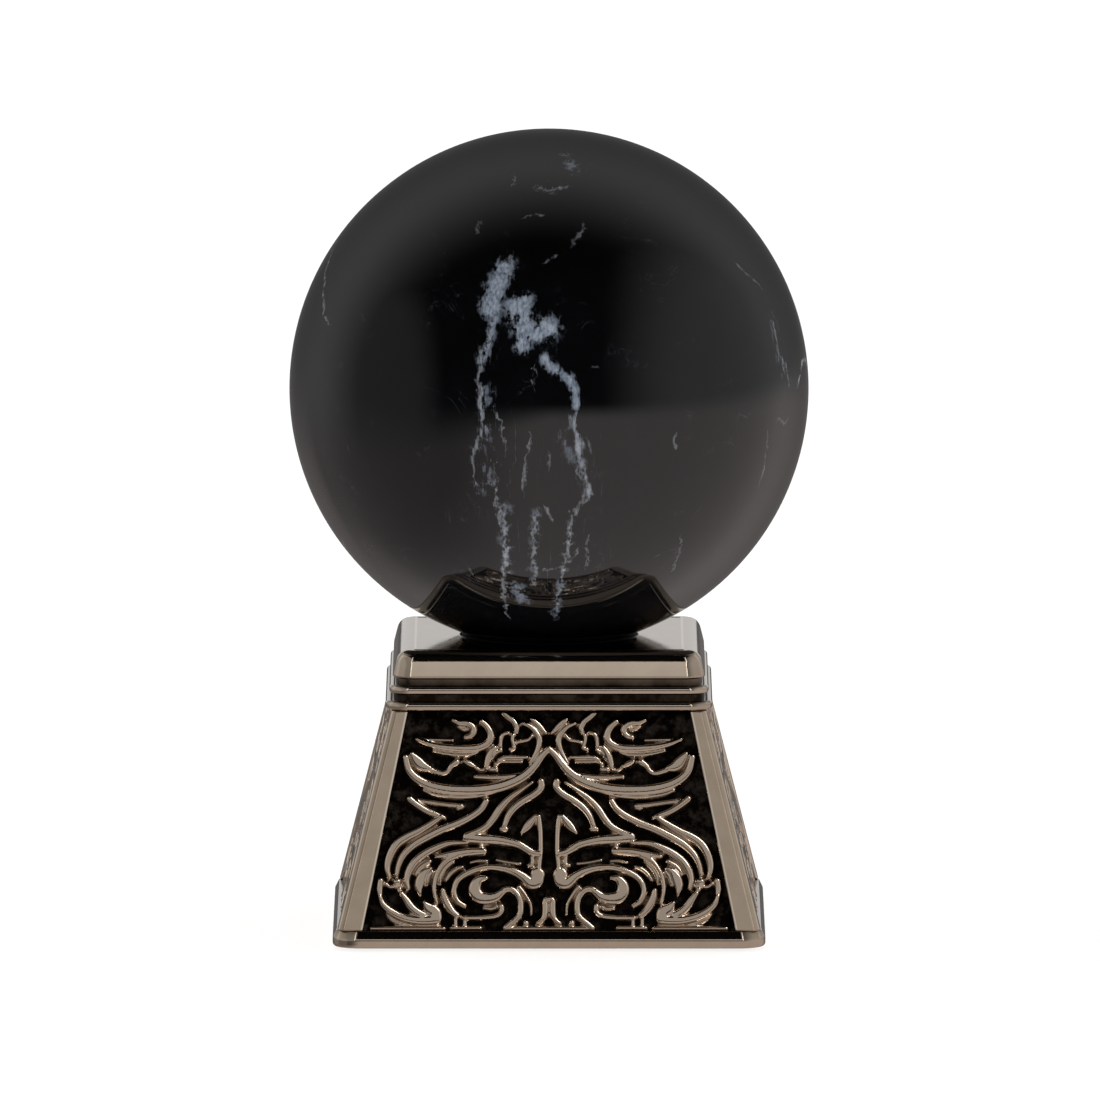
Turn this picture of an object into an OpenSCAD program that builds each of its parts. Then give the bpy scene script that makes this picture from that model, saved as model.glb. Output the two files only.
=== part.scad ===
// A stone ball on a four-sided stand. The stand is a stack: felt pad, bottom
// plate, plinth, four corner posts with four relief panels between them, a
// moulded collar and a cap plate. One long screw through the middle clamps the
// stack together. The ball lies loose in a soft ring let into the cap.
// Millimetres, +Z up, origin under the middle of the felt pad.

/* [Ball] */
// Diameter of the stone ball
ball_d = 100; // [90:1:110]
// Radius of the ball where it passes the top of the cap
seat_r = 15.3; // [14.6:0.1:15.8]

/* [Stand] */
// Half width across the posts where they stand on the plinth
foot_half = 40.6; // [39:0.1:43]
// How far a post leans inward for each millimetre of its height
lean = 0.25; // [0.22:0.01:0.26]
// Height of the posts and panels
post_h = 41.3; // [38:0.1:44]
// Height of the collar of beads above the posts
collar_h = 6; // [5.6:0.1:7]
// Thickness of the cap plate
cap_h = 5.2; // [5:0.1:6]
// Radius along the upper edge of the cap
cap_edge_r = 3.5; // [2.5:0.1:3.8]

/* [Posts] */
// Width of a post's face at its foot
post_foot_w = 4.9; // [4.5:0.1:5.4]
// Width of a post's face at its top
post_top_w = 3.3; // [3.2:0.1:3.6]
// Radius of a post's outer corner
post_corner_r = 2.5; // [1.5:0.1:2.8]

/* [Panels] */
// How far a panel's plate lies behind the faces of the posts
plate_recess = 1.7; // [1.5:0.1:1.8]
// Thickness of a panel's plate
plate_t = 1.2; // [0.9:0.1:1.3]
// Height of the scrolls above the plate
scroll_h = 1.5; // [1:0.1:1.6]
// Depth of the tongue at a panel's foot and head
tongue = 0.8; // [0.5:0.1:0.9]

/* [Base] */
// Height of the plinth's upper face
plinth_top = 3.9; // [3.8:0.1:4.4]
// Height of the plinth's underside above the table
plinth_lift = 0.5; // [0.3:0.1:0.6]
// Thickness of the felt pad
felt_t = 0.9; // [0.8:0.1:1]
// Thickness of the bottom plate
bottom_t = 1.5; // [1.2:0.1:1.6]

/* [Seat] */
// Outer radius of the soft ring
ring_r = 17; // [16.6:0.1:17.5]
// Inner radius of the soft ring
ring_hole_r = 12.2; // [10:0.1:12.6]
// Height of the soft ring
ring_h = 3.9; // [3.5:0.1:3.9]

/* [Screw] */
// Radius of the clamping screw's shank
screw_r = 2.5; // [2:0.1:2.5]
// Radius of the screw's head
head_r = 4.25; // [4:0.05:4.3]
// Height of the screw's head
head_h = 4.4; // [3.5:0.1:4.4]
// Width across the flats of the weld nut
nut_flats = 8; // [7.5:0.1:8]
// Height of the weld nut
nut_h = 4; // [3:0.1:5]

/* [Hidden] */
$fn = 64;

// Heights of the joints in the stack
collar_z = plinth_top + post_h;
cap_z = collar_z + collar_h;
cap_top = cap_z + cap_h;
bottom_top = felt_t + bottom_t;
ball_r = ball_d / 2;
ball_z = cap_top + sqrt(ball_r * ball_r - seat_r * seat_r);

// The lean as an angle, and the length of a panel measured up its slope
tilt = atan(lean);
slope_len = post_h / cos(tilt);

// Fits
loose = 0.1;
slice = 0.01;
plate_edge_gap = 3.2;

// How deep the scrolls root in the plate, and half the width of the clefts
// that close where two scrolls meet
scroll_root = 0.5;
cleft = 0.1;

// Collar and cap, measured outward from the square of their corner centres
collar_centre = 26.4;
cap_centre = 25.65;
cap_face = 4.4;
cap_face_top = cap_face - lean * (cap_h - cap_edge_r);
bead_r = 0.75;
upper_bead = 3.5;
lower_bead = 4.25;
collar_neck = 3;
collar_open = 24.5;
spigot_h = 2;

// Plinth
plinth_centre = 36.25;
plinth_open = 34.5;
rebate = 37;

// Cap pocket and the boss that takes the screw
pocket_r = ring_r + 0.2;
pocket_z = cap_top - ring_h - loose;
boss_r = 9;
boss_z = collar_z - 2;
head_seat = pocket_z - 5.6;
bore_r = screw_r + 0.25;
counterbore_r = head_r + 0.35;
washer_h = 0.8;
screw_end = bottom_top + 0.6;

// Post tenons
foot_tenon = [38.7, 1.0, 1.4];
head_tenon = [28.1, 0.75, 1.2];

// Half width across the posts at height z
function half(z) = foot_half - lean * (z - plinth_top);
// Width of a post's face at height z
function post_w(z) = post_foot_w + (post_top_w - post_foot_w) * (z - plinth_top) / post_h;
// Points of an arc of radius r about [u, z], from angle a to angle b
function arc(u, z, r, a, b, n = 8) =
    [for (i = [0:n]) [u + r * cos(a + (b - a) * i / n), z + r * sin(a + (b - a) * i / n)]];

// Point at t between p[i] and p[i + 1] on a smooth curve through the points p
function on_curve(p, i, t) =
    let (a = p[max(i - 1, 0)], b = p[i], c = p[i + 1], d = p[min(i + 2, len(p) - 1)])
    0.5 * (2 * b + (c - a) * t + (2 * a - 5 * b + 4 * c - d) * t * t + (3 * b - a - 3 * c + d) * t * t * t);
// The smooth curve as points, with n steps between each pair
function curve(p, n = 2) =
    concat([for (i = [0:len(p) - 2], k = [0:n - 1]) on_curve(p, i, k / n)], [p[len(p) - 1]]);
// Unit vector across the path p at its point i
function across(p, i) =
    let (d = p[min(i + 1, len(p) - 1)] - p[max(i - 1, 0)]) [-d.y, d.x] / norm(d);
// Width along a scroll: w[0] at its start, w[1] in its middle, w[2] at its end
function width_at(w, t) = (t < 0.5 ? w[0] : w[2]) * (1 - sin(180 * t)) + w[1] * sin(180 * t);

// The scrolls of one half of a panel, which the other half mirrors. Each is
// its three widths and the points along its middle: [from the centre line, up
// the slope from the plinth].
SCROLLS = [
    // The long moustache across the panel
    [[1.5, 2.6, 1.3], [[0, 35.5], [1.8, 33.7], [5.3, 30.5], [9.5, 28.4], [14.5, 27],
                       [20.5, 27.2], [24.8, 28.8], [27, 31.2], [27.5, 33.9]]],
    // The pair of scrolls in the upper corner
    [[1.3, 2.1, 1], [[12.2, 40.3], [11, 38.6], [12, 36.3], [16, 35.2], [20.7, 35.5], [25.3, 37.1]]],
    [[0.9, 1.3, 2], [[25.4, 37.4], [20.5, 37.5], [16.2, 38.1], [14.8, 39.4], [17, 41]]],
    // The leaf between them
    [[0.9, 1.4, 1], [[16.9, 33.2], [18.7, 32.3], [20.2, 30.9], [23, 31.7], [26.1, 34.7]]],
    // The curl beside the centre, and the leaf that leans on it
    [[1, 1.3, 1.2], [[5.2, 40.3], [2.8, 39.5], [1.6, 36.6], [2.9, 33.7], [5.2, 31.2]]],
    [[1, 1.6, 0.9], [[8, 38.3], [9, 36.2], [11.2, 34], [12, 31.5]]],
    // The two diagonal stems
    [[1.2, 1.6, 1.6], [[2.6, 28.9], [7.4, 25.7], [11.3, 21.3], [15.8, 18.5]]],
    [[1.2, 1.4, 1.2], [[1.5, 28.9], [3, 26.4], [6.8, 23.6], [8.8, 19.9]]],
    // The two long arches over the foot
    [[1.1, 1.6, 1], [[12.5, 25.3], [14.2, 22.5], [20, 20.4], [25.5, 17.6], [28.4, 14.3], [29.3, 12]]],
    [[0.9, 1.9, 1.1], [[20.6, 22.1], [26.3, 19.3], [30, 16.2], [31.5, 12.8], [31.3, 10.4]]],
    // The arch from the centre stem, and the arch that carries it on
    [[1.4, 1.8, 1.5], [[1.6, 14.8], [5, 16.6], [9, 17.7], [15.6, 18.2]]],
    [[0.9, 1.7, 0.9], [[15.3, 17.1], [20.5, 16.7], [25.2, 13.9], [27, 9.2]]],
    [[1, 1.5, 0.9], [[12.6, 15.7], [17.8, 14.9], [21.4, 12.2], [22.1, 8.2]]],
    // The centre stem and its loop
    [[1.2, 1.3, 1.2], [[2.2, 22.2], [1.4, 18.5], [1.4, 14], [1.8, 10.8]]],
    [[1.3, 1.9, 1], [[1.9, 10.8], [3.3, 9.2], [6.4, 11.3], [11.5, 12.4], [16, 11.3], [17.9, 8.7]]],
    // The inner scroll and its tail
    [[0.9, 1.7, 1.2], [[12.1, 10.4], [14.1, 9.1], [12.8, 6.7], [9.2, 7.6], [6, 6.9],
                       [5.4, 4], [8, 1.2]]],
    // The foot scroll and the corner scroll
    [[0.9, 1.4, 1.2], [[8.9, 4.8], [10.6, 2.9], [15.5, 2.7], [19, 3.9], [20.4, 8]]],
    [[1.2, 2, 1.4], [[32.6, 9.6], [31.6, 5.4], [27.4, 2.5], [22, 2.2]]]
];

// Sweeps an outline round a square with rounded corners. The outline's x is
// measured outward from the square on which the corner centres stand.
module swept_square(centre, outline) {
    for (i = [0:3]) rotate([0, 0, 90 * i]) translate([centre, centre, 0]) {
        rotate_extrude(angle = 90) polygon(outline);
        rotate([90, 0, 0]) linear_extrude(2 * centre) polygon(outline);
    }
}

// A square block, its half width and its lower and upper face
module block(h, z0, z1) {
    translate([-h, -h, z0]) cube([2 * h, 2 * h, z1 - z0]);
}

// A round rod on the centre line
module rod(r, z0, z1) {
    translate([0, 0, z0]) cylinder(r = r, h = z1 - z0);
}

// A plate with four round corners
module round_plate(h, r, z0, z1) {
    translate([0, 0, z0]) linear_extrude(z1 - z0) {
        square([2 * h, 2 * (h - r)], center = true);
        square([2 * (h - r), 2 * h], center = true);
        for (x = [-1, 1], y = [-1, 1]) translate([x * (h - r), y * (h - r)]) circle(r);
    }
}

// Carries a drawing to side i of the stand: x runs along the panel, y up its
// slope and z outward from the plane of the posts' faces
module on_side(i) {
    rotate([0, 0, 90 * i]) translate([0, -foot_half, plinth_top]) rotate([90 - tilt, 0, 0]) children();
}

// Outline of a panel's plate with its tongues, grown by g for the grooves
module plate_outline(g = 0) {
    low = -tongue - g;
    high = slope_len + tongue + g;
    low_half = foot_half - plate_edge_gap - sin(tilt) * low + g;
    high_half = foot_half - plate_edge_gap - sin(tilt) * high + g;
    polygon([[-low_half, low], [low_half, low], [high_half, high], [-high_half, high]]);
}

// A panel's plate as a solid, grown by g for the grooves
module plate_blank(g = 0) {
    translate([0, 0, -plate_recess - plate_t - g]) linear_extrude(plate_t + 2 * g) plate_outline(g);
}

// The window between the posts, a little inside their edges
module window() {
    low = 2 * loose;
    low_half = half(plinth_top) - post_foot_w - 2 * loose;
    high_half = half(collar_z) - post_top_w - 2 * loose;
    polygon([[-low_half, low], [low_half, low], [high_half, slope_len - low],
             [-high_half, slope_len - low]]);
}

// One scroll: a ribbon of changing width about a smooth curve
module scroll(widths, points) {
    p = curve(points);
    n = len(p) - 1;
    side = [for (i = [0:n]) across(p, i) * width_at(widths, i / n) / 2];
    polygon(concat([for (i = [0:n]) p[i] + side[i]], [for (i = [n:-1:0]) p[i] - side[i]]));
}

// All scrolls of a panel, with the narrow clefts between them closed
module scrollwork() {
    offset(delta = -cleft) offset(delta = cleft) intersection() {
        window();
        for (m = [0, 1]) mirror([m, 0]) for (s = SCROLLS) scroll(s[0], s[1]);
    }
}

// A relief panel: the plate and the scrolls that stand on it
module panel(i) {
    color("#3a342f") on_side(i) {
        plate_blank();
        translate([0, 0, -plate_recess - scroll_root]) linear_extrude(scroll_root + scroll_h) scrollwork();
    }
}

// A corner post between the plinth and the collar, with a round tenon at each
// end and a groove on each side for the panels
module post(i) {
    color("#8c7d70") rotate([0, 0, 90 * i]) difference() {
        union() {
            mirror([0, 1, 0]) hull() {
                post_slice(plinth_top);
                post_slice(collar_z - slice);
            }
            tenon(foot_tenon, plinth_top - foot_tenon[2]);
            tenon(head_tenon, collar_z - slice);
        }
        on_side(0) plate_blank(loose);
        on_side(1) plate_blank(loose);
    }
}

// A thin slice through a post, in the corner where x and y are positive
module post_slice(z) {
    h = half(z);
    w = post_w(z);
    translate([h - w, h - w, z]) cube([w - post_corner_r, w, slice]);
    translate([h - w, h - w, z]) cube([w, w - post_corner_r, slice]);
    translate([h - post_corner_r, h - post_corner_r, z]) cylinder(r = post_corner_r, h = slice, $fn = 32);
}

// A round tenon in the front right corner, t = [place, radius, height]
module tenon(t, z, g = 0) {
    translate([t[0], -t[0], z - g]) cylinder(r = t[1] + g, h = t[2] + slice + 2 * g);
}

// The sockets of all four tenons
module sockets(t, z) {
    for (i = [0:3]) rotate([0, 0, 90 * i]) tenon(t, z, loose / 2);
}

// The ball of polished stone
module ball() {
    color("#141416") translate([0, 0, ball_z]) sphere(r = ball_r, $fn = 128);
}

// The soft ring that the ball lies in
module seat_ring() {
    color("#1d1b1a") difference() {
        rod(ring_r, pocket_z, pocket_z + ring_h);
        rod(ring_hole_r, pocket_z - 1, cap_top);
        translate([0, 0, ball_z]) sphere(r = ball_r + loose, $fn = 128);
    }
}

// The cap: a thick plate with a round upper edge, a spigot that centres it in
// the collar and a boss for the screw
module cap_plate() {
    flat = cap_face_top - cap_edge_r;
    outline = concat([[0, cap_z], [cap_face, cap_z]],
                     arc(flat, cap_top - cap_edge_r, cap_edge_r, 0, 90), [[0, cap_top]]);
    color("#9a8c7e") difference() {
        union() {
            swept_square(cap_centre, outline);
            block(cap_centre, cap_z, cap_top);
            block(collar_open - 2 * loose, cap_z - spigot_h, cap_z);
            rod(boss_r, boss_z, cap_z);
        }
        rod(pocket_r, pocket_z, cap_top + 1);
        rod(counterbore_r, head_seat, cap_top);
        rod(bore_r, boss_z - 1, cap_top);
    }
}

// The collar: two beads and two grooves round a square frame
module collar() {
    outline = concat([[0, collar_z], [lower_bead, collar_z]],
                     arc(lower_bead, collar_z + bead_r, bead_r, -90, 90),
                     [[upper_bead, collar_z + 3 * bead_r + 0.6]],
                     arc(upper_bead, collar_z + 4 * bead_r + 0.6, bead_r, -90, 90),
                     [[collar_neck, collar_z + 5 * bead_r + 0.6], [collar_neck, cap_z], [0, cap_z]]);
    color("#93857a") difference() {
        union() {
            swept_square(collar_centre, outline);
            block(collar_centre, collar_z, cap_z);
        }
        block(collar_open, collar_z - 1, cap_z + 1);
        for (i = [0:3]) on_side(i) plate_blank(loose);
        sockets(head_tenon, collar_z);
    }
}

// The plinth: a moulded square frame, grooved for the panels and rebated
// underneath for the bottom plate
module plinth() {
    outline = [[0, plinth_lift], [3.35, plinth_lift], [4.35, 0.8], [5.05, 1.4], [5.3, 2.2],
               [5.25, plinth_top - 1], [4.95, plinth_top - 0.3], [4.4, plinth_top], [0, plinth_top]];
    color("#75695e") difference() {
        union() {
            swept_square(plinth_centre, outline);
            block(plinth_centre, plinth_lift, plinth_top);
        }
        block(plinth_open, plinth_lift - 1, plinth_top + 1);
        block(rebate, plinth_lift - 1, bottom_top);
        for (i = [0:3]) on_side(i) plate_blank(loose);
        sockets(foot_tenon, plinth_top - foot_tenon[2]);
    }
}

// The steel plate that closes the stand from below
module bottom_plate() {
    color("#4a4a4c") block(rebate - 2 * loose, felt_t, bottom_top);
}

// The felt pad that the stand rests on
module felt_pad() {
    color("#23211f") round_plate(rebate - 0.5, 2, 0, felt_t);
}

// The clamping screw with a hexagon socket in its head
module tie_bolt() {
    head_z = head_seat + washer_h;
    socket_flats = 4;
    socket_depth = 2.5;
    color("#6f7073") difference() {
        union() {
            rod(screw_r, screw_end, head_z);
            rod(head_r, head_z, head_z + head_h);
        }
        translate([0, 0, head_z + head_h - socket_depth])
            cylinder(r = socket_flats / sqrt(3), h = socket_depth + 1, $fn = 6);
    }
}

// The washer under the screw's head
module tie_washer() {
    color("#85868a") difference() {
        rod(head_r + 0.25, head_seat, head_seat + washer_h);
        rod(screw_r + 0.2, head_seat - 1, head_seat + 2);
    }
}

// The nut welded to the bottom plate
module tie_nut() {
    color("#77787b") difference() {
        translate([0, 0, bottom_top]) cylinder(r = nut_flats / sqrt(3), h = nut_h, $fn = 6);
        rod(screw_r + loose / 2, bottom_top - 1, bottom_top + nut_h + 1);
    }
}

// The tube that keeps the screw from pulling the bottom plate in
module spacer_tube() {
    color("#5f6063") difference() {
        rod(6.5, bottom_top, boss_z);
        rod(5, bottom_top - 1, boss_z + 1);
    }
}

ball();
seat_ring();
cap_plate();
collar();
post(0);  // post_front_right
post(1);  // post_back_right
post(2);  // post_back_left
post(3);  // post_front_left
panel(0);  // panel_front
panel(1);  // panel_right
panel(2);  // panel_back
panel(3);  // panel_left
plinth();
bottom_plate();
felt_pad();
tie_bolt();
tie_washer();
tie_nut();
spacer_tube();
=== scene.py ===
# %% [markdown]
# # A stone ball on a cast metal stand
# A polished ball of black, white-veined stone lies in a soft ring on a four-sided stand. The stand is a
# stack: a moulded plinth, four leaning corner posts with a relief panel between each pair, a collar of two
# beads and a thick cap plate. The frame comes from the CAD model, which fixes every size. This lesson makes
# the surfaces: each visible piece is worked out with numpy in the place that the frame gives it.

# %% Load the frame
import math

import bpy
import numpy as np
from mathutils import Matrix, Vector


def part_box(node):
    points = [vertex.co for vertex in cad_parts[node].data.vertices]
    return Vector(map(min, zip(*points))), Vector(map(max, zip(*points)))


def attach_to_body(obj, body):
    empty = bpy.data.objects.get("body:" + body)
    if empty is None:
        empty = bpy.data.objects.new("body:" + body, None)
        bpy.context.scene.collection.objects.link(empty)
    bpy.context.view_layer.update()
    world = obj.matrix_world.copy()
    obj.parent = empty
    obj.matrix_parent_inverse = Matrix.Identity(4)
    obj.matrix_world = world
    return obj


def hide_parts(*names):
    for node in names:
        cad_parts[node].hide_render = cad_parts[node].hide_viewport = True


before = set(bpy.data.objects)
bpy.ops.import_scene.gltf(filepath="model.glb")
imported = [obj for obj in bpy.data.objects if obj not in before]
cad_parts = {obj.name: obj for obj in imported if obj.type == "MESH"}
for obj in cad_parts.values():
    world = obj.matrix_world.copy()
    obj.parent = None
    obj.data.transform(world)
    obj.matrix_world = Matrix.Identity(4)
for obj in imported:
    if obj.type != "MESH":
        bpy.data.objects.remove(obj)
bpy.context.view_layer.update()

MM = 0.001

# %% [markdown]
# ## Sizes
# The heights and radii come from the boxes of the CAD nodes, so the pieces follow the frame. What a box
# can't say, such as where the corner centres of a moulding stand, is written down here in millimetres.

# %% Read the sizes
def box_mm(node):
    """Lowest and highest corner of a CAD node, in millimetres."""
    low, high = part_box(node)
    return np.array(low) / MM, np.array(high) / MM


BALL_LOW, BALL_HIGH = box_mm("ball")
BALL_R = (BALL_HIGH[2] - BALL_LOW[2]) / 2
BALL_Z = (BALL_HIGH[2] + BALL_LOW[2]) / 2
PLINTH_TOP = box_mm("plinth")[1][2]
COLLAR_Z = box_mm("collar")[0][2]
CAP_Z = box_mm("collar")[1][2]
CAP_TOP = box_mm("cap_plate")[1][2]
LEAN = 0.25
FOOT_HALF = 40.6
TILT = math.atan(LEAN)
RELIEF_HIGH = 1.5
PLATE_FRONT, PLATE_BACK = -1.7, -2.9
LIP_DEEP, CORE_DEEP = 1.65, 3.1
SLOPE = (COLLAR_Z - PLINTH_TOP) / math.cos(TILT)
print("ball radius", round(BALL_R, 2), "its centre at", round(BALL_Z, 2), "cap top", round(CAP_TOP, 2))
print("panel length up its slope", round(SLOPE, 2))

# %% [markdown]
# ## Tools for meshes
# Every new piece is a grid of points. One function joins the grid into quads, closes the directions that
# run round, puts a face over open ends and turns the whole mesh so that its faces point outward. It
# measures the volume to know which way round they are: the volume of a closed mesh is a sum over its faces,
# and it is negative if the faces look inward.

# %% Make a mesh from a grid
def surface(name, points, round_rows=False, round_columns=True, caps=True):
    """A mesh from a grid of points in millimetres, rows by columns by 3. Neighbouring rows and columns are
    joined by quads; a round direction also joins its last line to its first; caps put one face over each
    open end row."""
    rows, columns = points.shape[:2]
    index = np.arange(rows * columns).reshape(rows, columns)
    if round_rows:
        index = np.vstack([index, index[:1]])
    if round_columns:
        index = np.hstack([index, index[:, :1]])
    quads = np.stack([index[:-1, :-1], index[:-1, 1:], index[1:, 1:], index[1:, :-1]], axis=-1).reshape(-1, 4)
    flat = points.reshape(-1, 3)
    centre = flat.mean(axis=0)
    a, b, c, d = (flat[quads[:, k]] - centre for k in range(4))
    volume = (np.cross(a, b) * c).sum() + (np.cross(a, c) * d).sum()
    ends = []
    if caps and not round_rows:
        first, last = np.arange(columns), np.arange((rows - 1) * columns, rows * columns)
        ends = [first[::-1], last]
        for ring in ends:
            p = flat[ring] - centre
            middle = p.mean(axis=0)
            volume += (np.cross(p, np.roll(p, -1, axis=0)) @ middle).sum()
    faces = [list(map(int, q)) for q in quads] + [list(map(int, e)) for e in ends]
    if volume < 0:
        faces = [f[::-1] for f in faces]
    mesh = bpy.data.meshes.new(name)
    mesh.from_pydata((flat * MM).tolist(), [], faces)
    mesh.polygons.foreach_set("use_smooth", [True] * len(mesh.polygons))
    mesh.update()
    piece = bpy.data.objects.new(name, mesh)
    bpy.context.scene.collection.objects.link(piece)
    print(name, len(mesh.polygons), "faces, volume", round(abs(volume) / 6000, 2), "cubic centimetres")
    return piece


def attach(piece, name, values):
    """Stores one number, or three, for each point of a piece, so that its material can read them."""
    values = np.asarray(values, np.float32)
    kind = "FLOAT" if values.size == len(piece.data.vertices) else "FLOAT_VECTOR"
    attribute = piece.data.attributes.new(name, kind, "POINT")
    attribute.data.foreach_set("value" if kind == "FLOAT" else "vector", values.ravel())


def smooth_path(points, step):
    """A smooth curve through points, as points about one step apart. Between two points b and c with
    neighbours a and d it is half of: 2b + (c - a)t + (2a - 5b + 4c - d)t^2 + (3b - a - 3c + d)t^3."""
    p = np.array(points, float)
    p = np.vstack([2 * p[0] - p[1], p, 2 * p[-1] - p[-2]])
    a, b, c, d = p[:-3], p[1:-2], p[2:-1], p[3:]
    n = max(int(np.linalg.norm(c - b, axis=1).max() / step), 2)
    t = (np.arange(n) / n)[None, :, None]
    a, b, c, d = a[:, None], b[:, None], c[:, None], d[:, None]
    curve = 0.5 * (2 * b + (c - a) * t + (2 * a - 5 * b + 4 * c - d) * t**2 + (3 * b - a - 3 * c + d) * t**3)
    return np.vstack([curve.reshape(-1, p.shape[1]), p[-2][None]])


def rounded(place, trim, steps=7, hold=0.06):
    """A closed line with round corners. place is corners by coordinates, with any number of lines before;
    trim is how far the rounding of each corner reaches along its two sides. A corner's curve is (1 - t)^2
    start + 2t(1 - t) corner + t^2 end. Two more points just past the curves keep the flats flat."""
    place = np.asarray(place, float)
    trim = np.asarray(trim, float)
    back = np.roll(place, 1, axis=-2) - place
    forth = np.roll(place, -1, axis=-2) - place
    back_length = np.maximum(np.hypot(back[..., 0], back[..., 1]), 1e-9)
    forth_length = np.maximum(np.hypot(forth[..., 0], forth[..., 1]), 1e-9)
    back_room = 0.99 * back_length * trim / (trim + np.roll(trim, 1))
    forth_room = 0.99 * forth_length * trim / (trim + np.roll(trim, -1))
    start = place + back * (np.minimum(trim, back_room) / back_length)[..., None]
    end = place + forth * (np.minimum(trim, forth_room) / forth_length)[..., None]
    t = np.linspace(0, 1, steps)[:, None]
    first, corner, last = start[..., None, :], place[..., None, :], end[..., None, :]
    curve = (1 - t) ** 2 * first + 2 * t * (1 - t) * corner + t**2 * last
    gap = np.roll(start, -1, axis=-2) - end
    share = np.minimum(hold / np.maximum(np.linalg.norm(gap, axis=-1), 1e-9), 0.3)[..., None]
    after = np.stack([end + gap * share, end + gap * (1 - share)], axis=-2)
    line = np.concatenate([curve, after], axis=-2)
    return line.reshape(place.shape[:-2] + (-1, place.shape[-1]))

# %% [markdown]
# ## Mouldings that run round the stand
# The plinth, the collar and the cap are profiles carried round a square with rounded corners. The corner
# centres of such a square stand still while the profile moves in and out, so each profile point has three
# numbers: its half width, its height and how far out the corner centre is. With the corner centre on the axis
# the square is a circle, which is how the same loft makes the round pocket in the cap and the soft ring. Two
# more numbers say how far the corner is rounded and how its colour is finished: darker in grooves, as patina
# and painted shade, and lighter on crests, as rubbed wear and a painted highlight.

# %% Make a ring
def ring_angles():
    """Directions round the axis: every 2 degrees along the sides and every 0.4 degrees through the
    corners."""
    quarter = np.concatenate([np.arange(-38, 38, 2.0), np.arange(38, 52, 0.4)])
    return np.radians(np.concatenate([quarter + 90 * k for k in range(4)]))


def ring_radius(half, centre, angles):
    """Distance from the axis to a square with rounded corners. Along a side it is half / cos; round a
    corner it is the distance to a circle of radius half - centre about the corner centre."""
    big = np.maximum(abs(np.cos(angles)), abs(np.sin(angles)))
    small = np.minimum(abs(np.cos(angles)), abs(np.sin(angles)))
    side = half / big
    root = (half - centre) ** 2 - centre**2 * (big - small) ** 2
    corner = centre * (big + small) + np.sqrt(np.maximum(root, 0))
    return np.where(small * side <= centre, side, corner)


def ring_piece(name, corners, steps=7):
    """A closed ring from profile corners, each (half width, height, corner centre, trim, finish). The finish
    goes with the points for the material: 0 darkens a groove as patina and painted shade, 0.5 leaves a plain
    face and 1 lightens a crest as rubbed wear and a painted highlight."""
    corners = np.array(corners, float)
    line = rounded(corners[:, [0, 1, 2, 4]], corners[:, 3], steps)
    angles = ring_angles()
    radius = ring_radius(line[:, :1], line[:, 2:3], angles[None])
    height = np.repeat(line[:, 1:2], len(angles), axis=1)
    points = np.stack([radius * np.cos(angles), radius * np.sin(angles), height], axis=-1)
    piece = surface(name, points, round_rows=True)
    attach(piece, "crest", np.repeat(line[:, 3:], len(angles), axis=1))
    return piece

# %% [markdown]
# ### Plinth
# On the real stand this is a cast moulding, about 3 mm high, with a soft bulge below and a slope above that
# leads to the posts. A bevelled box would give only straight facets, so it is a profile of rounded corners.

# %% Make the plinth
PLINTH_C = 36.25
plinth_foot = box_mm("plinth")[0][2]
# In the finish column 0.6 lightens the bulge as rubbed wear and a painted highlight, and 0.3 at the top
# darkens the upper slope as a painted dark reflection. The foot edge and the hidden inner faces are darkened
# as painted shade.
plinth = ring_piece("plinth_moulding", [
    (39.6, plinth_foot, PLINTH_C, 0.2, 0.4),
    (41.1, plinth_foot + 0.1, PLINTH_C, 0.25, 0.5),
    (41.5, plinth_foot + 0.45, PLINTH_C, 0.3, 0.6),
    (41.52, PLINTH_TOP - 1.6, PLINTH_C, 0.25, 0.6),
    (40.75, PLINTH_TOP, PLINTH_C, 0.25, 0.3),
    (34.5, PLINTH_TOP, 34.0, 0.2, 0.3),
    (34.5, 2.4, 34.0, 0.15, 0.2),
    (37.0, 2.4, PLINTH_C, 0.1, 0.2),
    (37.0, plinth_foot, PLINTH_C, 0.1, 0.2),
])

# %% [markdown]
# ### Collar
# Two half-round beads with a flat groove between them and a narrow neck above. The neck stays in the shade of
# the cap and reads as a dark line. The finish paints the groove and the neck dark as painted shade, and the
# beads a little lighter as rubbed wear and a painted highlight.

# %% Make the collar
COLLAR_C = 26.4
collar = ring_piece("collar_moulding", [
    (30.4, COLLAR_Z, COLLAR_C, 0.1, 0.1),
    (31.4, COLLAR_Z + 0.05, COLLAR_C, 0.75, 0.6),
    (31.4, COLLAR_Z + 1.65, COLLAR_C, 0.8, 0.6),
    (29.9, COLLAR_Z + 1.65, COLLAR_C, 0.12, 0.0),
    (29.9, COLLAR_Z + 3.05, COLLAR_C, 0.12, 0.0),
    (30.65, COLLAR_Z + 3.1, COLLAR_C, 0.7, 0.7),
    (30.65, COLLAR_Z + 4.6, COLLAR_C, 0.75, 0.7),
    (29.4, COLLAR_Z + 4.6, COLLAR_C, 0.12, 0.1),
    (29.4, CAP_Z, COLLAR_C, 0.05, 0.18),
    (24.5, CAP_Z, 24.0, 0.1, 0.3),
    (24.5, COLLAR_Z, 24.0, 0.1, 0.3),
])
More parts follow.
